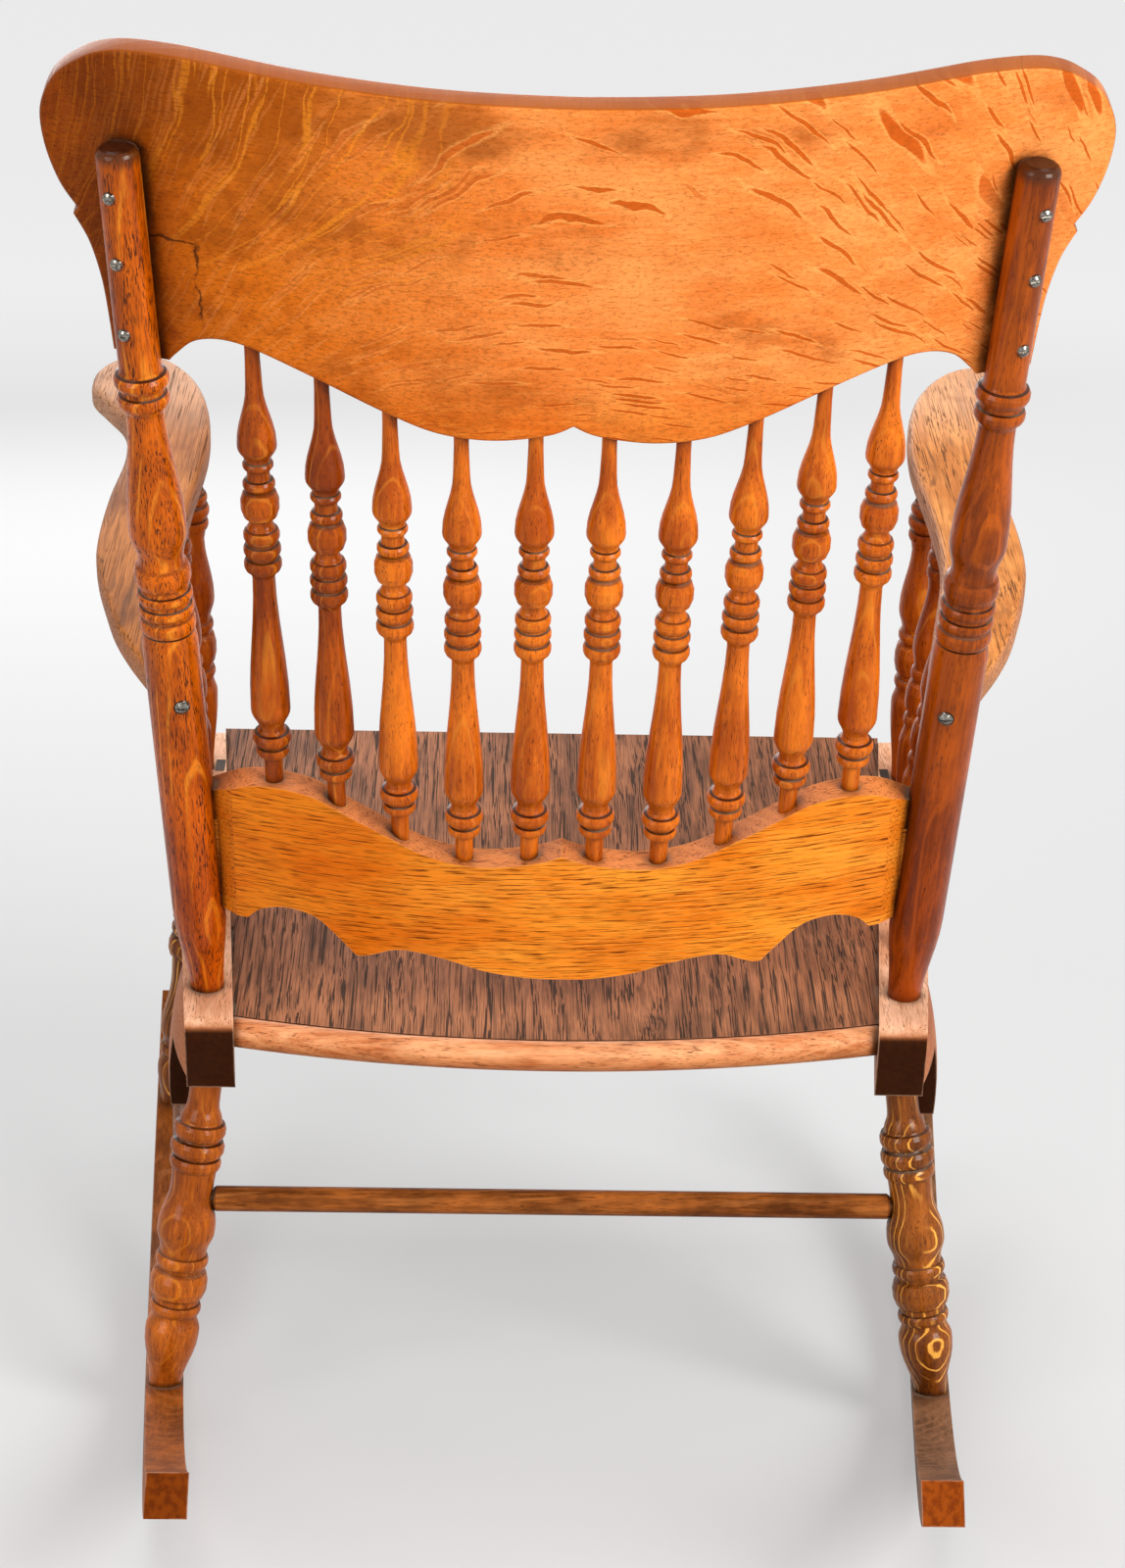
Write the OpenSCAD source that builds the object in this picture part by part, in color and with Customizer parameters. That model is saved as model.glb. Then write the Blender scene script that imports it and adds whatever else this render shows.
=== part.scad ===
// Pressed back rocking chair in oak, millimetres.
// The chair faces -Y, +Z is up, and +X is the sitter's left.
// The origin is on the floor, midway between the tips of the rockers.

/* [Seat frame] */
// Distance between the side rails at their rear ends
seat_w_back = 462; // [400:1:520]
// Angle by which each side rail spreads towards the front
seat_flare = 5.4; // [3:0.1:7]
// Rise of the seat from back to front, degrees
seat_rise = 11.1; // [5:0.1:13]
// Height of the rear end of the side rails, at their top
seat_back_z = 341.5; // [310:0.5:370]
// Place of the rear end of the side rails
seat_back_y = 133.5; // [100:0.5:170]
// Length of a side rail
rail_len = 470; // [440:1:520]
// Depth of a side rail
rail_depth = 54; // [50:1:60]
// Thickness of a side rail at its rear end
rail_thick = 35; // [32:1:42]
// Angle of the outer face of a side rail in plan
rail_outer_flare = 6.3; // [5:0.1:8]
// Radius of the apron under a side rail
apron_r = 84; // [70:1:95]
// Distance of the middle of the apron from the rear end
apron_y = 122; // [110:1:180]
// Depth of the apron below the top of the rail
apron_depth = 135; // [100:1:140]
// Thickness of the apron
apron_thick = 20; // [14:0.5:24]
// Radius of the swelling on the outer face of a side rail
swell_r = 84; // [70:1:90]
// Height of the swelling on the outer face of a side rail
swell_height = 13.5; // [0.5:0.5:16]
// Depth of the middle of the swelling below the top of the rail
swell_drop = 100; // [90:1:120]
// Rounding of the rear end of a side rail
rail_round = 14; // [4:1:20]
// Thickness of the seat panel
panel_thick = 8; // [6:0.5:12]
// Top of the seat panel below the top of the rails
panel_drop = 6; // [5.5:0.5:12]
// Depth of the grooves that hold the seat panel
groove_depth = 7; // [4:0.5:8]
// Diameter of the rear seat rail
rear_rail_d = 22; // [18:0.5:26]
// Backward bow of the rear seat rail
rear_rail_bow = 27; // [10:1:35]
// Distance of the rear seat rail from the rear end of the side rails
rear_rail_inset = 17; // [14:0.5:24]
// Thickness of the front seat rail
front_rail_thick = 26; // [20:1:32]
// Depth of the front seat rail
front_rail_depth = 40; // [30:1:44]
// Distance of the front seat rail from the front end of the side rails
front_rail_inset = 14; // [8:1:24]
// Distance of the front edge of the panel from the front end of the side rails
panel_inset = 1; // [0:0.5:6]

/* [Rockers] */
// Radius of the curve of the rockers
rocker_r = 775; // [740:1:1000]
// Length of the rockers from tip to tip
rocker_len = 834; // [780:1:860]
// Width of a rocker
rocker_w = 28; // [25:0.5:34]
// Depth of a rocker
rocker_d = 30; // [28:0.5:40]
// Place of the lowest point of the rockers, under the balance of the chair
balance_y = 23.2; // [0:0.1:40]
// Sideways slope of the rockers, which follows the legs
rocker_cant = 4; // [0:0.1:9]

/* [Legs] */
// Largest diameter of the rear legs
leg_d = 43; // [38:0.5:48]
// Largest diameter of the front legs
front_leg_d = 37; // [34:0.5:44]
// Diameter of a leg at its foot
leg_foot_d = 24; // [21:0.5:25]
// Distance of the rear legs from the rear end of the side rails
rear_leg_inset = 43; // [38:1:60]
// Distance of the front legs from the front end of the side rails
front_leg_inset = 78; // [50:1:100]
// Outward lean of the rear legs
rear_leg_splay = 8; // [4:0.1:10]
// Backward lean of the rear legs
rear_leg_rake = 1.4; // [0:0.1:9]
// Outward lean of the front legs
front_leg_splay = 7.1; // [4:0.1:10]
// Forward lean of the front legs
front_leg_rake = 8.3; // [3:0.1:10]
// Diameter of the tenons of the legs
leg_tenon_d = 17; // [14:0.5:18]
// Length of the tenons of the legs
leg_tenon_len = 20; // [14:0.5:22]
// Diameter of the rear stretcher
rear_stretcher_d = 19; // [16:0.5:22]
// Diameter of the side stretchers
side_stretcher_d = 18; // [14:0.5:22]
// Largest diameter of the front stretcher
front_stretcher_d = 30; // [24:0.5:34]
// Distance of the rear stretcher below the seat rails, along the leg
rear_stretcher_drop = 115; // [105:1:124]
// Distance of the side stretchers below the seat rails, along the leg
side_stretcher_drop = 150; // [144:1:158]
// Distance of the front stretcher below the seat rails, along the leg
front_stretcher_drop = 112; // [100:1:120]
// Diameter of the tenons of the stretchers
stretcher_tenon_d = 13; // [9:0.5:14]

/* [Back posts] */
// Backward lean of the back
back_lean = 18.6; // [12:0.1:22]
// Outward lean of the back posts
post_splay = 2.43; // [0:0.01:4]
// Distance between the axes of the back posts at the seat
post_track = 508; // [480:1:520]
// Distance of the back posts from the rear end of the side rails
post_inset = 53; // [50:1:64]
// Length of the back posts above the side rails
post_len = 659; // [650:1:700]
// Diameter of the back posts at their body
post_d = 38; // [34:0.5:42]
// Diameter of the upper end of the back posts
post_top_d = 27.5; // [25:0.5:32]
// Depth of the flat where the crest rail rests on a post
post_flat = 3.6; // [2:0.1:6]
// Diameter of the tenon of a back post
post_tenon_d = 17; // [14:0.5:18]
// Length of the tenon of a back post
post_tenon_len = 22; // [16:0.5:24]

/* [Back rails and spindles] */
// Radius of the bow of the back rails
bow_r = 780; // [700:1:1000]
// Thickness of the crest rail
crest_thick = 20; // [16:0.5:24]
// Thickness of the lower back rail
low_rail_thick = 22; // [18:0.5:26]
// Height of the crest rail above the seat, at its middle
crest_top = 706; // [690:1:730]
// Height of the lower edge of the crest rail above the seat, at its middle
crest_bottom = 491; // [480:1:500]
// Distance of the ears of the crest rail from the middle
crest_ear = 332; // [322:1:345]
// Height of the upper edge of the lower back rail above the seat, at its middle
low_rail_top = 158; // [150:1:165]
// Height of the lower edge of the lower back rail above the seat, at its middle
low_rail_bottom = 49; // [40:1:60]
// Number of back spindles
spindle_count = 10; // [6:2:10]
// Distance between the back spindles at the lower back rail
spindle_pitch = 44; // [38:0.5:44]
// Distance between the back spindles at the crest rail
spindle_pitch_top = 45; // [38:0.5:46]
// Largest diameter of the back spindles
spindle_d = 27; // [22:0.5:30]
// Diameter of the lower end of the back spindles
spindle_foot_d = 12.4; // [9:0.1:14]
// Diameter of the upper end of the back spindles
spindle_top_d = 9.8; // [8:0.1:12]
// Depth to which the spindles enter the rails
spindle_seat = 15; // [10:0.5:20]

/* [Arms] */
// Height of the arms on the back posts, along the post
arm_height = 262; // [240:1:285]
// Rise of the arms from back to front, degrees
arm_rise = 12.5; // [8:0.1:15]
// Thickness of the arms
arm_thick = 20; // [17:0.5:25]
// Length of the arms, from the back posts to their tips
arm_len = 568; // [540:1:610]
// Greatest distance of the outer edge of the arms from the middle
arm_reach = 381; // [360:1:400]
// Backward lean of the posts and spindles under the arms
arm_post_lean = 16.8; // [12:0.1:18]
// Distance of the front arm posts from the front end of the side rails
arm_post_inset = 82; // [70:1:120]
// Largest diameter of the front arm posts
arm_post_d = 32; // [27:0.5:34]
// Number of spindles under each arm
arm_spindle_count = 4; // [3:1:4]
// Largest diameter of the arm spindles
arm_spindle_d = 26; // [20:0.5:28]
// Diameter of the tenons of the arm posts and spindles
arm_tenon_d = 11; // [8:0.5:13]
// Length of the tenons of the arm posts and spindles
arm_tenon_len = 13; // [9:0.5:14]

/* [Fasteners] */
// Diameter of the heads of the crest screws
screw_head_d = 8.5; // [6:0.5:9]
// Diameter of the heads of the arm screws
arm_head_d = 11; // [9:0.5:12]
// Diameter of the shanks of the screws
screw_d = 4; // [3:0.5:5]
// Length of the shanks of the crest screws
crest_screw_len = 34; // [28:1:38]
// Length of the shanks of the arm screws
arm_screw_len = 62; // [50:1:70]
// Drop of the heads of the arm screws below the middle of the arms
arm_screw_drop = 5.5; // [0:0.5:6]
// Width of the plugs let into the tops of the side rails
plug_width = 7; // [5:0.5:8]
// Length of the plugs let into the tops of the side rails
plug_len = 19; // [12:1:24]

/* [Clearances] */
// Clearance round a tenon in its bore
tenon_clear = 0.1; // [0.05:0.05:0.3]
// Space at the bottom of a bore
bore_clear = 1; // [0.5:0.1:2]
// Clearance between two pieces that are coped to each other
cope_clear = 0.1; // [0.05:0.05:0.3]

/* [Hidden] */

OAK = [0.75, 0.42, 0.18];
PALE_OAK = [0.82, 0.62, 0.44];
SEAT_OAK = [0.55, 0.37, 0.27];
DARK_OAK = [0.2, 0.14, 0.1];
STEEL = [0.3, 0.29, 0.28];
ROUND = 96;
BIG = 1200;
CURVE_STEPS = 6;
BEAD_STEPS = 5;

// A point of the seat frame in the chair's frame
function seat_pt(p) = [p[0],
    seat_back_y + p[1] * cos(seat_rise) + p[2] * sin(seat_rise),
    seat_back_z - p[1] * sin(seat_rise) + p[2] * cos(seat_rise)];

// Inner and outer edges of a side rail at its top, at a distance from its rear end
function rail_in(back) = seat_w_back / 2 + back * tan(seat_flare);
function rail_out(back) = seat_w_back / 2 + rail_thick + back * tan(rail_outer_flare);
function rail_mid(back) = (rail_in(back) + rail_out(back)) / 2;

module in_seat() translate([0, seat_back_y, seat_back_z]) rotate([-seat_rise, 0, 0]) children();

// The back frame stands on the feet of the back posts and leans with them
back_foot = seat_pt([0, -post_inset, 0]);
module in_back() translate(back_foot) rotate([-back_lean, 0, 0]) children();
function back_pt(p) = [p[0],
    back_foot[1] + p[1] * cos(back_lean) + p[2] * sin(back_lean),
    back_foot[2] - p[1] * sin(back_lean) + p[2] * cos(back_lean)];
function post_x(w) = post_track / 2 + w * tan(post_splay);

// The arm frame lies in the top of the arms, with its origin level with the back posts
arm_axis = back_pt([post_x(arm_height), 0, arm_height]);
arm_origin = [0, arm_axis[1], arm_axis[2] + arm_thick / 2];
module in_arm() translate(arm_origin) rotate([-arm_rise, 0, 0]) children();

// Mirrors what is drawn on the left for the right side
module side(s) mirror([s < 0 ? 1 : 0, 0, 0]) children();

// Places what is drawn along +Z so that it runs from one point towards another
module along(a, b) {
    d = b - a;
    translate(a) rotate([0, acos(d[2] / norm(d)), atan2(d[1], d[0])]) children();
}

// Smooth curve through a row of points, first and last included
function curve_pt(a, b, c, d, t) = 0.5 * (2 * b + (c - a) * t + (2 * a - 5 * b + 4 * c - d) * t * t
    + (3 * b - a - 3 * c + d) * t * t * t);
function curve(p) = let(n = len(p) - 1) concat([for (i = [0:n - 1], k = [0:CURVE_STEPS - 1])
    curve_pt(p[max(i - 1, 0)], p[i], p[i + 1], p[min(i + 2, n)], k / CURVE_STEPS)], [p[n]]);
function reversed(p) = [for (i = [len(p) - 1:-1:0]) p[i]];
function mirrored(p) = [for (q = reversed(p)) [-q[0], q[1]]];

// Stretches of a turned profile, as points of radius and height
function swell(z0, r0, z1, r1) = [for (i = [0:CURVE_STEPS])
    let(t = i / CURVE_STEPS) [r0 + (r1 - r0) * (1 - cos(180 * t)) / 2, z0 + (z1 - z0) * t]];
function bead(z, h, r, rise) = [for (i = [0:BEAD_STEPS])
    let(a = 180 * i / BEAD_STEPS) [r + rise * sin(a), z - h / 2 * cos(a)]];
module turned(profile) rotate_extrude($fn = ROUND)
    polygon(concat([[0, profile[0][1]]], profile, [[0, profile[len(profile) - 1][1]]]));
module tenon(d, from, to) translate([0, 0, from]) cylinder(d = d, h = to - from, $fn = ROUND);
module bore(d, from, to) tenon(d + 2 * tenon_clear, from, to);

// Ends of the leg axes, at the underside of the side rails and well below the rockers' tops
rear_leg_back = rear_leg_inset;
front_leg_back = rail_len - front_leg_inset;
rear_leg_top = seat_pt([rail_mid(rear_leg_back), -rear_leg_back, -rail_depth]);
front_leg_top = seat_pt([rail_mid(front_leg_back), -front_leg_back, -rail_depth]);
rear_leg_dir = [tan(rear_leg_splay), tan(rear_leg_rake), -1];
front_leg_dir = [tan(front_leg_splay), -tan(front_leg_rake), -1];

// Where a line from a leg's top meets the top of the rockers
rocker_axis_z = rocker_r;
rocker_top_r = rocker_r - rocker_d;
function foot_run(p, d) = let(y = p[1] - balance_y, z = p[2] - rocker_axis_z,
    a = d[1] * d[1] + d[2] * d[2], b = y * d[1] + z * d[2],
    c = y * y + z * z - rocker_top_r * rocker_top_r) (-b + sqrt(b * b - a * c)) / a;
rear_foot = rear_leg_top + rear_leg_dir * foot_run(rear_leg_top, rear_leg_dir);
front_foot = front_leg_top + front_leg_dir * foot_run(front_leg_top, front_leg_dir);
rear_leg_len = norm(rear_foot - rear_leg_top);
front_leg_len = norm(front_foot - front_leg_top);
function on_leg(top, foot, s) = top + (foot - top) * s / norm(foot - top);

// The rockers pass under the middle of both feet
rocker_slope = tan(rocker_cant);
rocker_yaw = ((front_foot[0] - rear_foot[0]) + rocker_slope * (front_foot[2] - rear_foot[2]))
    / (rear_foot[1] - front_foot[1]);

// Turned stations of the legs, measured from the rail
NECK = 0.74;
function rear_leg_profile() = let(r = leg_d / 2, k = rear_leg_len / 263) concat(
    [[r * 0.53, -12], [r * 0.53, 0], [r * 0.55, 36 * k]], swell(38 * k, r * 0.56, 50 * k, r * 0.72),
    bead(57.5 * k, 13, r * 0.74, r * 0.17), bead(71.5 * k, 13, r * 0.76, r * 0.18),
    bead(83.5 * k, 10, r * 0.76, r * 0.13), swell(89.5 * k, r * 0.76, 102.5 * k, r * NECK),
    swell(104 * k, r * NECK, 134 * k, r), swell(138 * k, r, 153 * k, r * 0.82),
    bead(161 * k, 10, r * 0.8, r * 0.12), bead(180 * k, 23, r * 0.78, r * 0.22),
    bead(199.5 * k, 9, r * 0.78, r * 0.11), swell(205 * k, r * 0.78, 217 * k, r * 0.94),
    swell(221 * k, r * 0.94, rear_leg_len, leg_foot_d / 2), [[leg_foot_d / 2, rear_leg_len + 8]]);
function front_leg_profile() = let(r = front_leg_d / 2, k = front_leg_len / 268) concat(
    [[r * 0.62, -12]], swell(0, r * 0.64, 54 * k, r * 0.86), swell(58 * k, r * 0.86, 80 * k, r * 0.7),
    bead(88 * k, 11, r * 0.76, r * 0.17), bead(100 * k, 11, r * 0.76, r * 0.17),
    bead(117 * k, 21, r * 0.76, r * 0.24), swell(128 * k, r * 0.76, 150 * k, r * 0.7),
    swell(154 * k, r * 0.7, 196 * k, r * 0.94), swell(199 * k, r * 0.94, 211 * k, r * 0.76),
    bead(218 * k, 9, r * 0.78, r * 0.12), swell(224 * k, r * 0.78, 235 * k, r * 0.9),
    swell(238 * k, r * 0.9, front_leg_len, leg_foot_d / 2), [[leg_foot_d / 2, front_leg_len + 8]]);

module rocker_cylinder(r) translate([-BIG / 2, balance_y, rocker_axis_z]) rotate([0, 90, 0])
    cylinder(r = r, h = BIG, $fn = 720);
module below_rails(extra = 0) in_seat() translate([-BIG / 2, -BIG, -BIG - rail_depth - extra])
    cube([BIG, 2 * BIG, BIG]);

module leg(profile, top, foot) color(OAK) union() {
    intersection() {
        along(top, foot) turned(profile);
        below_rails();
        rocker_cylinder(rocker_top_r);
    }
    along(top, foot) tenon(leg_tenon_d, -leg_tenon_len, 15);
    along(top, foot) tenon(leg_tenon_d, norm(foot - top) - 15, norm(foot - top) + leg_tenon_len);
}

module rear_leg() difference() {
    leg(rear_leg_profile(), rear_leg_top, rear_foot);
    rear_stretcher_bores();
    side_stretcher_bores();
}

module front_leg() difference() {
    leg(front_leg_profile(), front_leg_top, front_foot);
    side_stretcher_bores();
    front_stretcher_bores();
}

module leg_bores() {
    along(rear_leg_top, rear_foot) bore(leg_tenon_d, -leg_tenon_len - bore_clear, 1);
    along(front_leg_top, front_foot) bore(leg_tenon_d, -leg_tenon_len - bore_clear, 1);
}

module foot_bores() {
    along(rear_leg_top, rear_foot)
        bore(leg_tenon_d, rear_leg_len - 6, rear_leg_len + leg_tenon_len + bore_clear);
    along(front_leg_top, front_foot)
        bore(leg_tenon_d, front_leg_len - 6, front_leg_len + leg_tenon_len + bore_clear);
}

// A rocker is a canted plank sawn to the common rocking cylinder
module rocker() color(OAK) difference() {
    intersection() {
        translate([0, balance_y, rocker_axis_z]) rotate([0, 90, 0])
            rotate([0, 0, asin((-rocker_len / 2 - balance_y) / rocker_r)])
            rotate_extrude(angle = asin((rocker_len / 2 - balance_y) / rocker_r)
                - asin((-rocker_len / 2 - balance_y) / rocker_r), $fn = 720)
            translate([rocker_top_r, 0]) square([rocker_d, BIG / 2]);
        translate(rear_foot) rotate([0, -rocker_cant, atan(rocker_yaw)])
            translate([-rocker_w / 2, -BIG, -BIG / 2]) cube([rocker_w, 2 * BIG, BIG]);
    }
    foot_bores();
}

// Stretchers
rear_stretcher_at = on_leg(rear_leg_top, rear_foot, rear_stretcher_drop);
side_stretcher_rear = on_leg(rear_leg_top, rear_foot, side_stretcher_drop);
side_stretcher_front = on_leg(front_leg_top, front_foot, side_stretcher_drop + 22);
front_stretcher_at = on_leg(front_leg_top, front_foot, front_stretcher_drop + 32);
neck_r = leg_d / 2 * NECK;
stretcher_bite = 9;

module stretcher_bore(a, b) along(a, b) bore(stretcher_tenon_d, -stretcher_bite - bore_clear, leg_d);
module cross_bore(p) stretcher_bore(p, [0, p[1], p[2]]);
module rear_stretcher_bores() cross_bore(rear_stretcher_at);
module front_stretcher_bores() cross_bore(front_stretcher_at);
module side_stretcher_bores() {
    stretcher_bore(side_stretcher_rear, side_stretcher_front);
    stretcher_bore(side_stretcher_front, side_stretcher_rear);
}

module rear_stretcher() color(OAK) translate(rear_stretcher_at) rotate([0, -90, 0]) {
    len = 2 * rear_stretcher_at[0];
    shoulder = neck_r + 1.5;
    r = rear_stretcher_d / 2;
    t = stretcher_tenon_d / 2;
    turned([[t, -stretcher_bite], [t, shoulder], [r - 1.5, shoulder], [r, shoulder + 2],
        [r, len - shoulder - 2], [r - 1.5, len - shoulder], [t, len - shoulder],
        [t, len + stretcher_bite]]);
}

module side_stretcher() color(OAK) along(side_stretcher_rear, side_stretcher_front) {
    len = norm(side_stretcher_front - side_stretcher_rear);
    shoulder = leg_d / 2 + 1;
    r = side_stretcher_d / 2;
    t = stretcher_tenon_d / 2;
    turned(concat([[t, -stretcher_bite], [t, shoulder]], swell(shoulder + 1, t + 0.6, len / 2, r),
        swell(len / 2 + 1, r, len - shoulder - 1, t + 0.6),
        [[t, len - shoulder], [t, len + stretcher_bite]]));
}

module front_stretcher() color(OAK) translate(front_stretcher_at) rotate([0, -90, 0]) {
    len = 2 * front_stretcher_at[0];
    mid = len / 2;
    shoulder = leg_d / 2;
    r = front_stretcher_d / 2;
    t = stretcher_tenon_d / 2;
    half = concat([[t, -stretcher_bite], [t, shoulder]], swell(shoulder + 1, t + 1, mid - 150, r * 0.8),
        swell(mid - 146, r * 0.8, mid - 112, r * 0.5), bead(mid - 104, 12, r * 0.55, r * 0.3),
        bead(mid - 92, 10, r * 0.55, r * 0.25), swell(mid - 86, r * 0.5, mid - 40, r * 0.95),
        swell(mid - 36, r * 0.95, mid - 22, r * 0.6), bead(mid - 15, 10, r * 0.6, r * 0.25));
    turned(concat(half, bead(mid, 18, r * 0.7, r * 0.3), [for (p = reversed(half)) [p[0], len - p[1]]]));
}

// Side rails, with the apron forward of the rear leg
apron_clear = rear_leg_inset + leg_d / 2 + 3;
module rail_profile() difference() {
    union() {
        translate([-rail_len + rail_depth / 2, -rail_depth])
            square([rail_len - rail_depth / 2, rail_depth]);
        translate([-rail_len + rail_depth / 2, -rail_depth / 2]) circle(d = rail_depth, $fn = ROUND);
    }
    difference() {
        translate([-rail_round, -rail_round]) square(rail_round + 1);
        translate([-rail_round, -rail_round]) circle(r = rail_round, $fn = ROUND);
    }
}
module apron_profile() intersection() {
    translate([-apron_y, apron_r - apron_depth]) circle(r = apron_r, $fn = 2 * ROUND);
    translate([-rail_len, -apron_depth - 1]) square([rail_len - apron_clear, apron_depth - rail_depth / 2]);
}
module rail_plan(thick) polygon([[rail_out(-1) - thick, 1], [rail_out(-1), 1],
    [rail_out(rail_len + 1), -rail_len - 1], [rail_out(rail_len + 1) - thick, -rail_len - 1]]);

// The swelling is a low dome turned about an axis square to the outer face
swell_sphere_r = (swell_r * swell_r + swell_height * swell_height) / (2 * swell_height);
module swelling() translate([rail_out(0), 0, 0]) rotate([0, 0, rail_outer_flare])
    translate([0, -swell_r, -swell_drop]) rotate([0, 90, 0]) rotate_extrude($fn = 2 * ROUND)
    polygon(concat([[0, -apron_thick], [swell_r, -apron_thick]], [for (i = [0:2 * CURVE_STEPS])
        let(a = asin(swell_r / swell_sphere_r) * (1 - i / (2 * CURVE_STEPS)))
        [swell_sphere_r * sin(a), swell_sphere_r * cos(a) - swell_sphere_r + swell_height]]));

module side_rail() color(PALE_OAK) difference() {
    in_seat() union() {
        intersection() {
            rotate([90, 0, 90]) linear_extrude(BIG / 2) rail_profile();
            union() {
                translate([0, 0, -apron_depth - 1]) linear_extrude(apron_depth + 2)
                    polygon([[rail_in(-1), 1], [rail_out(-1), 1],
                        [rail_out(rail_len + 1), -rail_len - 1], [rail_in(rail_len + 1), -rail_len - 1]]);
                swelling();
            }
        }
        intersection() {
            rotate([90, 0, 90]) linear_extrude(BIG / 2) apron_profile();
            union() {
                translate([0, 0, -apron_depth - 1]) linear_extrude(apron_depth + 2) rail_plan(apron_thick);
                swelling();
            }
        }
    }
    leg_bores();
    post_bore();
    arm_turning_bores();
    rear_rail_bores();
    front_rail_bores();
    panel_groove();
    plug_bore();
}

// Rear and front seat rails
rear_rail_half = seat_w_back / 2 + rear_rail_inset * tan(seat_flare);
rear_rail_r = (rear_rail_half * rear_rail_half + rear_rail_bow * rear_rail_bow) / (2 * rear_rail_bow);
rear_rail_z = -panel_drop - rear_rail_d / 2;
rear_rail_tenon_d = 13;
rear_rail_tenon_len = 16;
// The bar is as thick at its ends as in the middle, and each end has a round tenon
rear_rail_turn = asin(rear_rail_half / rear_rail_r);
module rear_rail_bar(d) in_seat()
    translate([0, -rear_rail_inset - rear_rail_r + rear_rail_bow, rear_rail_z])
    rotate([0, 0, 90 - rear_rail_turn]) rotate_extrude(angle = 2 * rear_rail_turn, $fn = 720)
    translate([rear_rail_r, 0]) circle(d = d, $fn = ROUND);
module rear_rail_tenon(d, len) in_seat() translate([rear_rail_half, -rear_rail_inset, rear_rail_z])
    rotate([0, 90, -rear_rail_turn]) translate([0, 0, -6]) cylinder(d = d, h = len + 6, $fn = ROUND);
module rear_rail_bores()
    rear_rail_tenon(rear_rail_tenon_d + 2 * tenon_clear, rear_rail_tenon_len + bore_clear);
module beside_rails() in_seat() translate([0, 0, -BIG / 2]) linear_extrude(BIG)
    polygon([[rail_in(-60), 60], [rail_in(rail_len + 60), -rail_len - 60],
        [-rail_in(rail_len + 60), -rail_len - 60], [-rail_in(-60), 60]]);
module rear_seat_rail() color(OAK) union() {
    intersection() {
        rear_rail_bar(rear_rail_d);
        beside_rails();
    }
    for (s = [1, -1]) side(s) rear_rail_tenon(rear_rail_tenon_d, rear_rail_tenon_len);
}

front_rail_back = rail_len - front_rail_inset;
front_tenon_h = front_rail_depth - 12;
front_tenon_t = front_rail_thick / 2;
front_tenon_len = 12;
module front_rail_tenons(clear, end) in_seat()
    translate([-rail_in(front_rail_back) - end,
        -front_rail_back + (front_rail_thick - front_tenon_t) / 2 - clear,
        -panel_drop - panel_thick - front_rail_depth + 6 - clear])
    cube([2 * (rail_in(front_rail_back) + end), front_tenon_t + 2 * clear,
        front_tenon_h + 2 * clear]);
module front_rail_bores() front_rail_tenons(tenon_clear, front_tenon_len + bore_clear);
module front_seat_rail() color(OAK) union() {
    intersection() {
        in_seat() translate([-BIG / 2, -front_rail_back, -panel_drop - panel_thick - front_rail_depth])
            cube([BIG, front_rail_thick, front_rail_depth]);
        beside_rails();
    }
    front_rail_tenons(0, front_tenon_len);
}

// Seat panel, let into the side rails and coped to the rear rail short of a feather edge
panel_blunt = 4;
module panel_outline(edge, front) {
    rear = rear_rail_bow;
    polygon([[rail_in(-rear) + edge, rear], [rail_in(front) + edge, -front],
        [-rail_in(front) - edge, -front], [-rail_in(-rear) - edge, rear]]);
}
module panel_groove() in_seat() translate([0, 0, -panel_drop - panel_thick - tenon_clear])
    linear_extrude(panel_thick + 2 * tenon_clear) difference() {
        panel_outline(groove_depth + bore_clear, front_rail_back + tenon_clear);
        translate([-BIG / 2, -rear_rail_inset - 2]) square([BIG, BIG]);
    }
module seat_panel() color(SEAT_OAK) difference() {
    in_seat() translate([0, 0, -panel_drop - panel_thick]) linear_extrude(panel_thick) difference() {
        union() {
            panel_outline(groove_depth, front_rail_back);
            panel_outline(-cope_clear, rail_len - panel_inset);
        }
        difference() {
            translate([-BIG / 2, -rear_rail_inset - rear_rail_d / 2 - 2]) square([BIG, BIG]);
            translate([0, -rear_rail_inset - rear_rail_r + rear_rail_bow])
                circle(r = rear_rail_r - panel_blunt, $fn = 720);
        }
    }
    rear_rail_bar(rear_rail_d + 2 * cope_clear);
    side(1) post_foot_clear();
    side(-1) post_foot_clear();
}
module post_foot_clear() along(post_axis_foot, post_axis_top)
    tenon(post_tenon_d + 2, -post_tenon_len - 2, 2);

// Back posts
post_axis_foot = back_pt([post_x(0), 0, 0]);
post_axis_top = back_pt([post_x(post_len), 0, post_len]);
post_axis_len = norm(post_axis_top - post_axis_foot);
function post_profile() = let(r = post_d / 2, t = post_top_d / 2) concat(
    [[r * 0.62, -14]], swell(-2, r * 0.64, 74, r), [[r, 300], [r * 0.96, 306], [r * 0.93, 309]],
    bead(315.5, 12, r * 0.87, r * 0.13), bead(327, 8, r * 0.86, r * 0.13),
    bead(338, 8, r * 0.86, r * 0.13), bead(353.5, 17, r * 0.82, r * 0.18), [[r * 0.8, 366]],
    swell(367, r * 0.8, 387, r * 1.01), swell(391, r * 1.01, 476, r * 0.64),
    bead(485, 10, r * 0.74, r * 0.15), [[r * 0.74, 492]], bead(499.5, 11, r * 0.76, r * 0.19),
    [[t, 507], [t, post_len - 6]], [for (a = [20:20:80]) [t - 6 + 6 * cos(a), post_len - 6 + 6 * sin(a)]]);
module post_bore() along(post_axis_foot, post_axis_top)
    bore(post_tenon_d, -post_tenon_len - bore_clear, 4);
module above_rails() in_seat() translate([-BIG / 2, -BIG, 0]) cube([BIG, 2 * BIG, BIG]);

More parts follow.
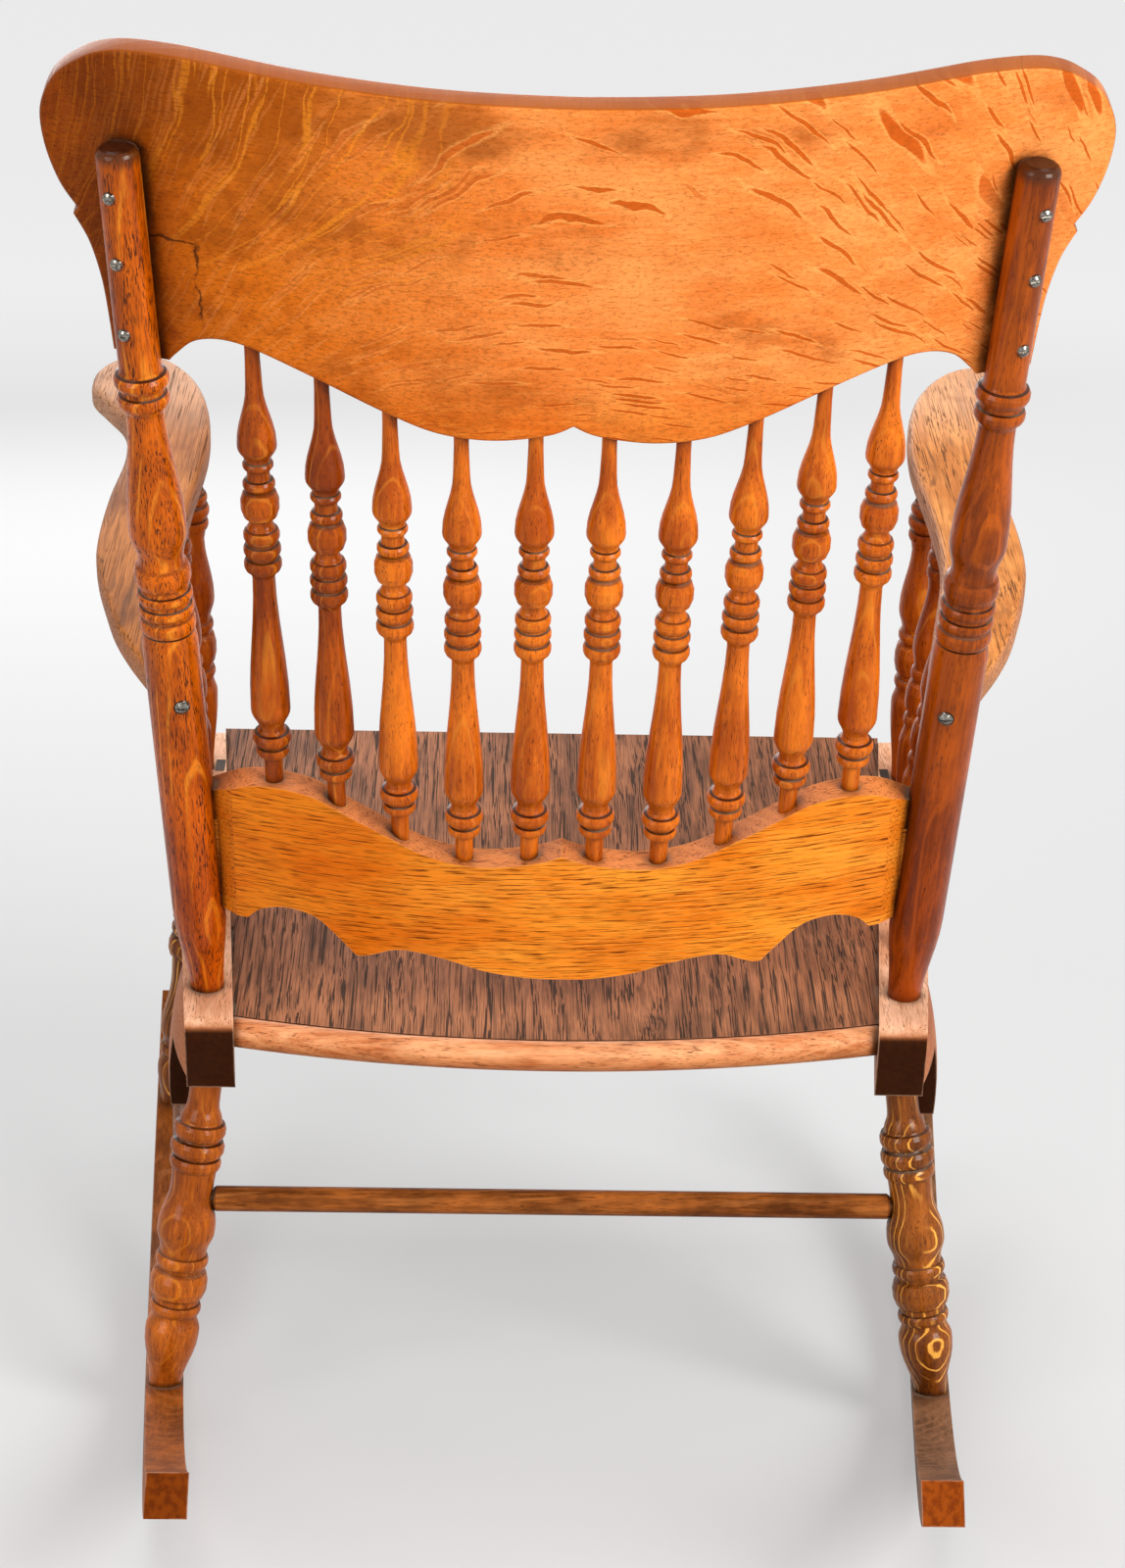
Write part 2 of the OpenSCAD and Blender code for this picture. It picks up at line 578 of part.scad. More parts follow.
module back_post() color(OAK) difference() {
    union() {
        intersection() {
            along(post_axis_foot, post_axis_top) turned(post_profile());
            above_rails();
        }
        along(post_axis_foot, post_axis_top) tenon(post_tenon_d, -post_tenon_len, 12);
    }
    in_back() crest_cope();
    low_rail_tenons(tenon_clear, low_tenon_len + bore_clear);
    crest_screw_bores();
    arm_screw_bore();
}

// Bowed back rails, drawn as the back surface at a distance from the plane of the post axes
crest_back = bow_r - sqrt(bow_r * bow_r - pow(post_x(581), 2)) - post_top_d / 2 + post_flat;
low_rail_back = bow_r - sqrt(bow_r * bow_r - 240 * 240) + low_rail_thick / 2;
module bow(back, thick, from, to) translate([0, back - bow_r, from]) difference() {
    cylinder(r = bow_r, h = to - from, $fn = 720);
    translate([0, 0, -1]) cylinder(r = bow_r - thick, h = to - from + 2, $fn = 720);
    translate([-BIG, -2 * BIG, -1]) cube([2 * BIG, 2 * BIG, to - from + 2]);
}
function bow_at(u, back, thick) = back - bow_r + sqrt(pow(bow_r - thick / 2, 2) - u * u);
module crest_cope() bow(crest_back, post_top_d * 2, 509, post_len + 40);

// Half outline of the crest rail, from the middle of its lower edge to the middle of its top
crest_lobe = [[0, crest_bottom], [16, crest_bottom - 7], [50, crest_bottom - 12],
    [84, crest_bottom - 9.5], [115, crest_bottom + 1], [162, crest_bottom + 21.5],
    [200, crest_bottom + 36], [222, crest_bottom + 40], [240, crest_bottom + 36],
    [252, crest_bottom + 25], [257, crest_bottom + 19]];
crest_wing = [[crest_ear - 38, crest_bottom + 19], [crest_ear - 35, crest_bottom + 52],
    [crest_ear - 32, crest_bottom + 72], [crest_ear - 26, crest_bottom + 93],
    [crest_ear - 17, crest_bottom + 109]];
crest_ear_edge = [[crest_ear - 20, crest_top - 101], [crest_ear - 9, crest_top - 85.5],
    [crest_ear - 1, crest_top - 62], [crest_ear, crest_top - 38], [crest_ear - 10, crest_top - 16],
    [crest_ear - 26, crest_top - 2], [crest_ear - 41, crest_top + 6], [crest_ear - 60, crest_top + 10.3],
    [crest_ear - 90, crest_top + 11.3], [crest_ear - 122, crest_top + 9], [175, crest_top + 6],
    [125, crest_top + 3], [77, crest_top + 1], [0, crest_top]];
crest_half = concat(curve(crest_lobe), curve(crest_wing), curve(crest_ear_edge));
module crest_rail() color(OAK) difference() {
    in_back() intersection() {
        bow(crest_back, crest_thick, crest_bottom - 40, crest_top + 40);
        translate([0, BIG / 2, 0]) rotate([90, 0, 0]) linear_extrude(BIG)
            polygon(concat(crest_half, mirrored(crest_half)));
    }
    spindle_bores();
    for (s = [1, -1]) side(s) crest_screw_bores();
}

// Half outline of the lower back rail: upper edge outwards, then lower edge inwards
low_rail_end = post_x(130) - post_d / 2 - cope_clear;
low_rail_reach = low_rail_end + 4;
low_top_edge = [[0, low_rail_top], [9, low_rail_top - 4], [24, low_rail_top - 8], [58, low_rail_top - 12],
    [90, low_rail_top - 6.5], [121, low_rail_top + 8], [154, low_rail_top + 25], [174, low_rail_top + 34],
    [200, low_rail_top + 36.5], [222, low_rail_top + 32], [low_rail_reach, low_rail_top + 19]];
low_arch = [[221, low_rail_bottom + 27], [211, low_rail_bottom + 37], [193, low_rail_bottom + 42.5],
    [172, low_rail_bottom + 38], [155, low_rail_bottom + 22], [143.5, low_rail_bottom + 9]];
low_lobes = [[138, low_rail_bottom + 9], [130, low_rail_bottom + 12], [117, low_rail_bottom + 17.5],
    [102, low_rail_bottom + 18], [78, low_rail_bottom + 13], [52, low_rail_bottom + 5],
    [22, low_rail_bottom + 0.5], [0, low_rail_bottom]];
low_half = concat(curve(low_top_edge), [[low_rail_reach, low_rail_bottom + 28]], curve(low_arch),
    curve(low_lobes));
low_tenon_len = 14;
low_tenon_h = 60;
low_tenon_t = 12;
module low_rail_tenons(clear, len) in_back() translate([-post_x(130) + post_d / 2 - len,
    -low_tenon_t / 2 - clear, low_rail_bottom + 45 - clear])
    cube([2 * (post_x(130) - post_d / 2 + len), low_tenon_t + 2 * clear, low_tenon_h + 2 * clear]);
module low_rail_body() intersection() {
    bow(low_rail_back, low_rail_thick, low_rail_bottom - 20, low_rail_top + 60);
    translate([0, BIG / 2, 0]) rotate([90, 0, 0]) linear_extrude(BIG)
        polygon(concat(low_half, mirrored(low_half)));
}
module low_rail_tongue(s) side(s) translate([low_rail_end - 4, -low_tenon_t / 2, low_rail_bottom + 45])
    cube([low_tenon_len + cope_clear + 4, low_tenon_t, low_tenon_h]);
// The back of the rail is bevelled at each end, down to the posts
module low_rail_bevel(s) side(s)
    translate([low_rail_end - 12, bow_at(low_rail_end - 12, low_rail_back, 0), low_rail_bottom - 20])
    rotate([0, 0, -36]) translate([-6, 0, 0]) cube([60, 40, low_rail_top + 80]);
module lower_back_rail() color(OAK) difference() {
    union() {
        difference() {
            in_back() difference() {
                low_rail_body();
                low_rail_bevel(1);
                low_rail_bevel(-1);
            }
            for (s = [1, -1]) side(s) along(post_axis_foot, post_axis_top)
                tenon(post_d + 2 * cope_clear, 20, 290);
        }
        in_back() for (s = [1, -1]) low_rail_tongue(s);
    }
    spindle_bores();
}

// Back spindles, numbered from the right end of the back to the left
function edge_at(edge, u) = lookup(abs(u), [for (p = edge) [p[0], p[1]]]);
// The spindles stand a little off an even row, the middle ones on each side the most
low_shift = [0.4, 1.2, 1.7, 1.4, 0.8];
high_shift = [0.9, 3.4, 4, 2.3, 1.5];
function spindle_u(i, pitch, shift) = let(k = i - (spindle_count + 1) / 2)
    k * pitch + sign(k) * shift[min(floor(abs(k)), len(shift) - 1)];
function spindle_low(i) = let(u = spindle_u(i, spindle_pitch, low_shift))
    back_pt([u, bow_at(u, low_rail_back, low_rail_thick), edge_at(curve(low_top_edge), u)]);
function spindle_high(i) = let(u = spindle_u(i, spindle_pitch_top, high_shift))
    back_pt([u, bow_at(u, crest_back, crest_thick), edge_at(curve(crest_lobe), u)]);
function spindle_profile(len) = let(r = spindle_d / 2, f = spindle_foot_d / 2, t = spindle_top_d / 2,
    b = len - 73) concat(
    [[f, -spindle_seat], [f, 18]], swell(19, f, 21, r * 0.7), bead(25, 7, r * 0.7, r * 0.16),
    [[r * 0.77, 30]], bead(35.5, 10, r * 0.74, r * 0.25), swell(41, r * 0.7, 43, r * 0.64),
    swell(44, r * 0.64, 58, r), swell(61, r, b - 98, r * 0.56), bead(b - 88.5, 10, r * 0.74, r * 0.2),
    bead(b - 77.5, 9, r * 0.74, r * 0.19), bead(b - 66.5, 10, r * 0.7, r * 0.2),
    swell(b - 61, r * 0.68, b - 57, r * 0.58), bead(b - 43.5, 22, r * 0.6, r * 0.36),
    [[r * 0.58, b - 33]], bead(b - 28.5, 8, r * 0.58, r * 0.22), [[r * 0.56, b - 22], [r * 0.56, b - 18]],
    bead(b - 14.5, 6, r * 0.57, r * 0.19), swell(b - 11, r * 0.64, b - 1, r * 0.96),
    swell(b + 1, r * 0.96, b + 42, t + 0.7), [[t, b + 62], [t, len + spindle_seat]]);
module back_spindle(i) color(OAK) along(spindle_low(i), spindle_high(i))
    turned(spindle_profile(norm(spindle_high(i) - spindle_low(i))));
module spindle_bores() for (i = [1:spindle_count]) along(spindle_low(i), spindle_high(i)) {
    len = norm(spindle_high(i) - spindle_low(i));
    bore(spindle_foot_d, -spindle_seat - bore_clear, 19);
    bore(spindle_top_d, len - 8, len + spindle_seat + bore_clear);
}

// Arms, drawn in plan, with distances forward of the back posts
arm_outer = [[arm_axis[0] + 19, -1], [arm_axis[0] + 35, -35], [arm_axis[0] + 49, -71],
    [arm_axis[0] + 59, -107], [arm_reach - 47, -148], [arm_reach - 40, -191], [arm_reach - 38, -236],
    [arm_reach - 39, -293], [arm_reach - 43, -361], [arm_reach - 36, -422],
    [arm_reach - 17, -arm_len + 105.5],
    [arm_reach - 3, -arm_len + 79], [arm_reach, -arm_len + 58], [arm_reach - 2, -arm_len + 36],
    [arm_reach - 13, -arm_len + 14.5], [arm_reach - 36, -arm_len], [arm_reach - 59, -arm_len + 12.5],
    [arm_reach - 80, -arm_len + 45], [arm_reach - 94, -arm_len + 86], [arm_reach - 102.5, -arm_len + 135],
    [arm_reach - 106, -377], [arm_reach - 104, -317], [arm_reach - 102, -271], [arm_reach - 102.5, -193],
    [arm_axis[0] - 3, -91], [arm_axis[0] - 13.5, -30], [arm_axis[0] - 15, -1]];
module arm() color(PALE_OAK) difference() {
    in_arm() translate([0, 0, -arm_thick]) linear_extrude(arm_thick) polygon(curve(arm_outer));
    along(post_axis_foot, post_axis_top) tenon(post_d + 2 * cope_clear, arm_height - 80, arm_height + 36);
    arm_turning_bores();
    arm_screw_bore();
}

// Posts and spindles under the arms, the front post first
arm_first_back = rail_len - arm_post_inset;
arm_step = (arm_first_back - post_inset) / (arm_spindle_count + 1);
arm_top_inset = [94.7, 88.6, 86.5, 88.3, 96.2];
function arm_foot(k) = let(back = arm_first_back - k * arm_step) seat_pt([rail_mid(back), -back, 0]);
// Where a leaning axis meets the underside of the arm
function arm_top(k) = let(p = arm_foot(k), lean = tan(arm_post_lean), rise = tan(arm_rise),
    under = arm_origin[2] - arm_thick / cos(arm_rise),
    up = (under - p[2] + (arm_origin[1] - p[1]) * rise) / (1 + lean * rise))
    [arm_reach - arm_top_inset[k], p[1] + lean * up, p[2] + up];
function arm_turning_profile(len, d) = let(r = d / 2, k = len / 256) concat(
    [[r * 0.62, -6]], swell(0, r * 0.64, 72 * k, r * 0.97), swell(74 * k, r * 0.97, 87 * k, r * 0.8),
    bead(93.5 * k, 9, r * 0.78, r * 0.13), bead(115.5 * k, 28, r * 0.76, r * 0.24),
    bead(136.5 * k, 9, r * 0.76, r * 0.13), swell(142 * k, r * 0.74, 160 * k, r * 0.97),
    swell(163 * k, r * 0.97, 213 * k, r * 0.58), bead(227 * k, 9, r * 0.68, r * 0.14),
    bead(238.5 * k, 11, r * 0.7, r * 0.18), bead(249.5 * k, 9, r * 0.64, r * 0.16), [[r * 0.6, len + 6]]);
module under_arm() in_arm() translate([-BIG / 2, -BIG, -BIG - arm_thick]) cube([BIG, 2 * BIG, BIG]);
module arm_turning(k, d) color(OAK) {
    len = norm(arm_top(k) - arm_foot(k));
    intersection() {
        along(arm_foot(k), arm_top(k)) turned(arm_turning_profile(len, d));
        above_rails();
        under_arm();
    }
    along(arm_foot(k), arm_top(k)) tenon(arm_tenon_d, -arm_tenon_len, 9);
    along(arm_foot(k), arm_top(k)) tenon(arm_tenon_d, len - 9, len + arm_tenon_len);
}
module arm_turning_bores() for (k = [0:arm_spindle_count]) along(arm_foot(k), arm_top(k)) {
    len = norm(arm_top(k) - arm_foot(k));
    bore(arm_tenon_d, -arm_tenon_len - bore_clear, 4);
    bore(arm_tenon_d, len - 4, len + arm_tenon_len + bore_clear);
}

// Fasteners
module screw(len, head_d) {
    head_h = head_d * 0.34;
    difference() {
        rotate_extrude($fn = 48) polygon(concat([[0, -len]], [[screw_d / 2, -len], [screw_d / 2, 0],
            [head_d / 2, 0]], [for (a = [30:30:90]) [head_d / 2 * cos(a), head_h * sin(a)]]));
        translate([-head_d, -0.5, head_h * 0.5]) cube([2 * head_d, 1, head_h]);
    }
}
module screw_bore(len, head_d) {
    translate([0, 0, -len - bore_clear])
        cylinder(d = screw_d + 2 * tenon_clear, h = len + bore_clear + 2, $fn = 48);
    cylinder(d = head_d + 2 * tenon_clear, h = head_d, $fn = 48);
}
crest_screw_heights = [535.5, 584.5, 629];
crest_screw_shift = 1.5;
screw_sink = 0.7;
module at_crest_screws() for (w = crest_screw_heights) in_back()
    translate([post_x(w) + crest_screw_shift, 0, w])
    rotate([0, 0, -atan2(post_x(w), bow_r - crest_back)])
    translate([0, post_top_d / 2 - screw_sink, 0]) rotate([-90, 0, 0]) children();
module crest_screw_bores() at_crest_screws() screw_bore(crest_screw_len, screw_head_d);
module crest_screws() color(STEEL) for (s = [1, -1]) side(s) at_crest_screws()
    screw(crest_screw_len, screw_head_d);

arm_screw_tilt = atan(arm_screw_drop / arm_screw_len);
module at_arm_screw() translate(back_pt([arm_axis[0] - 6, 0, arm_height - arm_screw_drop]))
    rotate([-arm_rise - arm_screw_tilt, 0, 0])
    translate([0, sqrt(pow(post_d / 2, 2) - 36) - 0.9, 0]) rotate([-90, 0, 0]) children();
module arm_screw_bore() at_arm_screw() screw_bore(arm_screw_len, arm_head_d);
module arm_screws() color(STEEL) for (s = [1, -1]) side(s) at_arm_screw()
    screw(arm_screw_len, arm_head_d);

plug_depth = 4;
plug_back = arm_first_back + 4;
module plug(clear, depth, proud) in_seat() translate([rail_in(plug_back) + 1.5 - clear,
    -plug_back - plug_len / 2 - clear, -depth])
    cube([plug_width + 2 * clear, plug_len + 2 * clear, depth + proud]);
module plug_bore() plug(tenon_clear, plug_depth + bore_clear, 1);
module rail_plugs() color(DARK_OAK) for (s = [1, -1]) side(s) plug(0, plug_depth, 0.3);

side(1) rocker();  // rocker_left
side(-1) rocker();  // rocker_right
side(1) rear_leg();  // rear_leg_left
side(-1) rear_leg();  // rear_leg_right
side(1) front_leg();  // front_leg_left
side(-1) front_leg();  // front_leg_right
rear_stretcher();
front_stretcher();
side(1) side_stretcher();  // side_stretcher_left
side(-1) side_stretcher();  // side_stretcher_right
side(1) side_rail();  // side_rail_left
side(-1) side_rail();  // side_rail_right
rear_seat_rail();
front_seat_rail();
seat_panel();
side(1) back_post();  // back_post_left
side(-1) back_post();  // back_post_right
crest_rail();
lower_back_rail();
back_spindle(1);  // back_spindle_1
back_spindle(2);  // back_spindle_2
back_spindle(3);  // back_spindle_3
back_spindle(4);  // back_spindle_4
back_spindle(5);  // back_spindle_5
back_spindle(6);  // back_spindle_6
back_spindle(7);  // back_spindle_7
back_spindle(8);  // back_spindle_8
back_spindle(9);  // back_spindle_9
back_spindle(10);  // back_spindle_10
side(1) arm();  // arm_left
side(-1) arm();  // arm_right
side(1) arm_turning(0, arm_post_d);  // front_arm_post_left
side(-1) arm_turning(0, arm_post_d);  // front_arm_post_right
side(1) arm_turning(1, arm_spindle_d);  // arm_spindle_left_1
side(1) arm_turning(2, arm_spindle_d);  // arm_spindle_left_2
side(1) arm_turning(3, arm_spindle_d);  // arm_spindle_left_3
side(1) arm_turning(4, arm_spindle_d);  // arm_spindle_left_4
side(-1) arm_turning(1, arm_spindle_d);  // arm_spindle_right_1
side(-1) arm_turning(2, arm_spindle_d);  // arm_spindle_right_2
side(-1) arm_turning(3, arm_spindle_d);  // arm_spindle_right_3
side(-1) arm_turning(4, arm_spindle_d);  // arm_spindle_right_4
crest_screws();
arm_screws();
rail_plugs();
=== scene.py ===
"""Looks, light and camera for a pressed back rocking chair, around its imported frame.

Lengths are in millimetres until a mesh or a light is made, and then in metres.
The chair faces -Y, +Z is up and +X is the sitter's left.
"""

import math
import random

import bmesh
import bpy
import numpy as np
from mathutils import Matrix, Vector
from mathutils.geometry import delaunay_2d_cdt


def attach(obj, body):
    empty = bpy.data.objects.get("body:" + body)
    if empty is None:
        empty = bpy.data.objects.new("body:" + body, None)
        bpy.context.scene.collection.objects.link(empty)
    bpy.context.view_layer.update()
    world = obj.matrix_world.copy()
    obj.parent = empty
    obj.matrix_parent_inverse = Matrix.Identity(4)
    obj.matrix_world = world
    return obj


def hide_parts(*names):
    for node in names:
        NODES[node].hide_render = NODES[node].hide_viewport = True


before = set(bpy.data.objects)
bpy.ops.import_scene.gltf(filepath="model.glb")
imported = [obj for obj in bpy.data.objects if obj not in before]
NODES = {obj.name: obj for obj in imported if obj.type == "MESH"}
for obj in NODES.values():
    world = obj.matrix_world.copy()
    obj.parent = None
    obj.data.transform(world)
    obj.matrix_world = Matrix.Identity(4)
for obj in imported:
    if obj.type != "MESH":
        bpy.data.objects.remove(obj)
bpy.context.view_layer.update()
MM = 0.001
PER_METRE = 1000

# Sizes of the chair, the same as in its CAD source.
SEAT_RISE = math.radians(11.1)
SEAT_BACK = (133.5, 341.5)  # y and z of the seat frame's rear end
POST_INSET = 53  # from there to the feet of the back posts
BACK_LEAN = math.radians(18.6)
BOW_R = 780  # of the rear faces of the two bowed rails
CREST_THICK = 20
CREST_BACK = 41.32  # how far the middle of the crest rail stands out of the back frame
CREST_TOP = 706  # this and the next are heights along the back posts
CREST_BOTTOM = 491
CREST_EAR = 332  # half the crest rail's width
POST_LEN = 659
POST_TRACK = 508
POST_SPLAY = math.radians(2.43)
ARM_RISE = math.radians(12.5)
ARM_HEIGHT = 262
ARM_THICK = 20
ARM_LEN = 568
ARM_REACH = 381  # half the width over the arms

# Directions out of the pieces' faces and along their grain.
SEAT_UP = (0, math.sin(SEAT_RISE), math.cos(SEAT_RISE))
SEAT_GRAIN = (0, -math.cos(SEAT_RISE), math.sin(SEAT_RISE))
ARM_UP = (0, math.sin(ARM_RISE), math.cos(ARM_RISE))
ARM_GRAIN = (0, -math.cos(ARM_RISE), math.sin(ARM_RISE))
BACK_UP = (0, math.sin(BACK_LEAN), math.cos(BACK_LEAN))
BACK_OUT = (0, math.cos(BACK_LEAN), -math.sin(BACK_LEAN))


def seat_point(x, back, up):
    """A point of the seat frame, given by its distance in front of the seat's rear end."""
    c, s = math.cos(SEAT_RISE), math.sin(SEAT_RISE)
    return Vector((x, SEAT_BACK[0] - back * c + up * s, SEAT_BACK[1] + back * s + up * c))


def back_point(u, n, w):
    """A point of the back frame: sideways, out of the back, and up along the posts."""
    foot = seat_point(0, POST_INSET, 0)
    c, s = math.cos(BACK_LEAN), math.sin(BACK_LEAN)
    return Vector((u, foot.y + n * c + w * s, foot.z - n * s + w * c))


def arm_point(x, y, up):
    """A point of the arm frame, which lies in the top of the arms."""
    axis = back_point(0, 0, ARM_HEIGHT)
    c, s = math.cos(ARM_RISE), math.sin(ARM_RISE)
    return Vector((x, axis.y + y * c + up * s, axis.z + ARM_THICK / 2 - y * s + up * c))


def curve(points, steps=6):
    """Smooth curve through a row of points."""
    p = [np.array(q, float) for q in points]
    out = []
    for i in range(len(p) - 1):
        a, b, c, d = p[max(i - 1, 0)], p[i], p[i + 1], p[min(i + 2, len(p) - 1)]
        for k in range(steps):
            t = k / steps
            out.append(0.5 * (2 * b + (c - a) * t + (2 * a - 5 * b + 4 * c - d) * t * t
                              + (3 * b - a - 3 * c + d) * t ** 3))
    return out + [p[-1]]


# Node trees.

def srgb(r, g, b):
    """A colour as seen on screen, 0 to 255, as the linear values that nodes take."""
    def linear(v):
        v /= 255
        return v / 12.92 if v <= 0.04045 else ((v + 0.055) / 1.055) ** 2.4
    return (linear(r), linear(g), linear(b), 1)


class Graph:
    """Builds a node tree from calls whose arguments are numbers, colours or sockets. Most calls
    return the socket of their result."""

    def __init__(self, tree):
        self.tree = tree

    def put(self, socket, value):
        if isinstance(value, bpy.types.NodeSocket):
            self.tree.links.new(value, socket)
        elif value is not None:
            socket.default_value = value

    def node(self, kind, inputs=None, **props):
        n = self.tree.nodes.new(kind)
        for key, value in props.items():
            setattr(n, key, value)
        for key, value in (inputs or {}).items():
            self.put(n.inputs[key], value)
        return n

    def math(self, op, a, b=None):
        return self.node("ShaderNodeMath", {0: a, 1: b}, operation=op).outputs[0]

    def mul(self, a, b):
        return self.math("MULTIPLY", a, b)

    def add(self, a, b):
        return self.math("ADD", a, b)

    def most(self, a, b):
        return self.math("MAXIMUM", a, b)

    def flip(self, a):
        return self.math("SUBTRACT", 1, a)

    def size(self, a):
        """The value without its sign."""
        return self.math("ABSOLUTE", a)

    def step(self, value, low, high):
        """0 below low, 1 above high, smooth between."""
        ends = {"Value": value, "From Min": low, "From Max": high}
        return self.node("ShaderNodeMapRange", ends, interpolation_type="SMOOTHSTEP").outputs[0]

    def band(self, value, low, high, soft):
        """1 between low and high, with soft ends."""
        return self.mul(self.step(value, low - soft, low + soft),
                        self.flip(self.step(value, high - soft, high + soft)))

    def vector(self, op, a, b=None):
        return self.node("ShaderNodeVectorMath", {0: a, 1: b}, operation=op).outputs

    def scaled(self, vector, x, y, z):
        return self.vector("MULTIPLY", vector, (x, y, z))[0]

    def dot(self, a, b):
        return self.vector("DOT_PRODUCT", a, b)[1]

    def split(self, vector):
        return self.node("ShaderNodeSeparateXYZ", {0: vector}).outputs

    def join(self, x, y, z):
        return self.node("ShaderNodeCombineXYZ", {0: x, 1: y, 2: z}).outputs[0]

    def coordinate(self, kind):
        """Object, the place in the chair, or Normal, the way the surface faces."""
        return self.node("ShaderNodeTexCoord").outputs[kind]

    def noise(self, vector, scale=1, detail=2, rough=0.5):
        values = {"Vector": vector, "Scale": scale, "Detail": detail, "Roughness": rough}
        return self.node("ShaderNodeTexNoise", values).outputs[0]

    def mix(self, factor, a, b, mode="MIX"):
        n = self.node("ShaderNodeMix", data_type="RGBA", blend_type=mode)
        self.put(n.inputs[0], factor)
        self.put(n.inputs[6], a)
        self.put(n.inputs[7], b)
        return n.outputs[2]

    def lay(self, base, amount, strength, colour):
        """The base colour, covered by another as far as amount times strength says."""
        return self.mix(self.mul(amount, strength), base, colour)

    def darken(self, base, amount, tint):
        """The base colour, multiplied by a tint as far as amount says."""
        return self.mix(amount, base, self.mix(1, base, (*tint, 1), "MULTIPLY"))


def new_group(name, inputs, outputs):
    """A shader node group with one vector input, float inputs and float outputs."""
    tree = bpy.data.node_groups.new(name, "ShaderNodeTree")
    tree.interface.new_socket("Vector", in_out="INPUT", socket_type="NodeSocketVector")
    for key, value in inputs.items():
        socket = tree.interface.new_socket(key, in_out="INPUT", socket_type="NodeSocketFloat")
        socket.default_value = value
    for key in outputs:
        tree.interface.new_socket(key, in_out="OUTPUT", socket_type="NodeSocketFloat")
    g = Graph(tree)
    return g, g.node("NodeGroupInput").outputs, g.node("NodeGroupOutput").inputs


def new_material(name):
    """A material and the graph that builds its nodes."""
    material = bpy.data.materials.new(name)
    material.use_nodes = True
    g = Graph(material.node_tree)
    g.tree.nodes.clear()
    return material, g


def oak_group():
    """Growth rings, pores and mottling of oak in a piece's own frame, with the grain along Z."""
    g, given, made = new_group(
        "oak", {"Pith": 60, "Ring": 4, "Line": 0.16, "Warp": 5, "Ripple": 0.5,
                "Pore length": 7, "Pore width": 0.7, "Pore cover": 0.45},
        ["Lines", "Pores", "Mottle", "Streaks"])
    vector = given["Vector"]
    slow = g.noise(g.scaled(vector, 0.014, 0.014, 0.0035), detail=3)
    x, y, z = g.split(vector)[:3]
    x = g.add(g.add(x, given["Pith"]), g.mul(g.add(slow, -0.5), g.mul(given["Warp"], 4)))
    radius = g.math("SQRT", g.add(g.mul(x, x), g.mul(y, y)))
    ripple = g.mul(g.noise(g.scaled(vector, 0.12, 0.12, 0.02)), given["Ripple"])
    turn = g.math("FRACT", g.add(g.math("DIVIDE", radius, given["Ring"]), ripple))
    line_end = g.step(g.math("SUBTRACT", turn, given["Line"]), 0.06, 0.16)
    lines = g.mul(g.step(turn, 0.04, 0.12), g.flip(line_end))
    strength = g.noise(g.scaled(vector, 0.05, 0.05, 0.015))
    lines = g.mul(lines, g.step(strength, 0.38, 0.6))
    early = g.band(turn, 0.35, 0.95, 0.12)
    width = g.math("DIVIDE", 1, given["Pore width"])
    length = g.math("DIVIDE", 1, given["Pore length"])
    fine = g.noise(g.join(g.mul(x, width), g.mul(y, width), g.mul(z, length)), detail=1.5)
    edge = g.math("SUBTRACT", 0.72, g.mul(given["Pore cover"], 0.25))
    pores = g.mul(g.step(fine, edge, g.add(edge, 0.07)), g.add(g.mul(early, 0.6), 0.4))
    mottle = g.noise(g.scaled(vector, 0.03, 0.03, 0.012), detail=4, rough=0.6)
    streaks = g.noise(g.scaled(vector, 0.35, 0.35, 0.02), detail=3, rough=0.6)
    for key, socket in (("Lines", lines), ("Pores", pores), ("Mottle", mottle),
                        ("Streaks", streaks)):
        g.put(made[key], socket)
    return g.tree


# In metres.
HOLLOW_REACH = 0.007
SHADE_REACH = 0.024
WORN_EDGE = 0.002


def age_group():
    """Grime and painted shade in hollows, dust on what faces up there, soft painted shade and worn
    edges. The vector is the surface's normal."""
    g, given, made = new_group("age", {}, ["Grime", "Dust", "Worn", "Shade"])
    hollow = g.node("ShaderNodeAmbientOcclusion", {"Distance": HOLLOW_REACH}, samples=6)
    deep = g.flip(g.step(hollow.outputs["AO"], 0.45, 0.93))
    wide = g.node("ShaderNodeAmbientOcclusion", {"Distance": SHADE_REACH}, samples=5)
    place = g.coordinate("Object")
    patch = g.noise(place, scale=45, detail=3)
    up = g.step(g.dot(given["Vector"], (0, 0, 1)), 0.1, 0.7)
    soft = g.node("ShaderNodeBevel", {"Radius": WORN_EDGE}, samples=6).outputs[0]
    turn = g.dot(soft, g.node("ShaderNodeNewGeometry").outputs["Normal"])
    wear = g.noise(place, scale=28, detail=4, rough=0.65)
    # Dark grime in hollows, which is partly painted shade there.
    g.put(made["Grime"], g.mul(deep, g.step(patch, 0.2, 0.6)))
    g.put(made["Dust"], g.mul(g.mul(deep, up), g.step(patch, 0.42, 0.6)))
    g.put(made["Worn"], g.mul(g.flip(g.step(turn, 0.86, 0.985)), g.step(wear, 0.34, 0.58)))
    g.put(made["Shade"], g.flip(g.step(wide.outputs["AO"], 0.25, 1)))
    return g.tree


OAK = oak_group()
AGE = age_group()

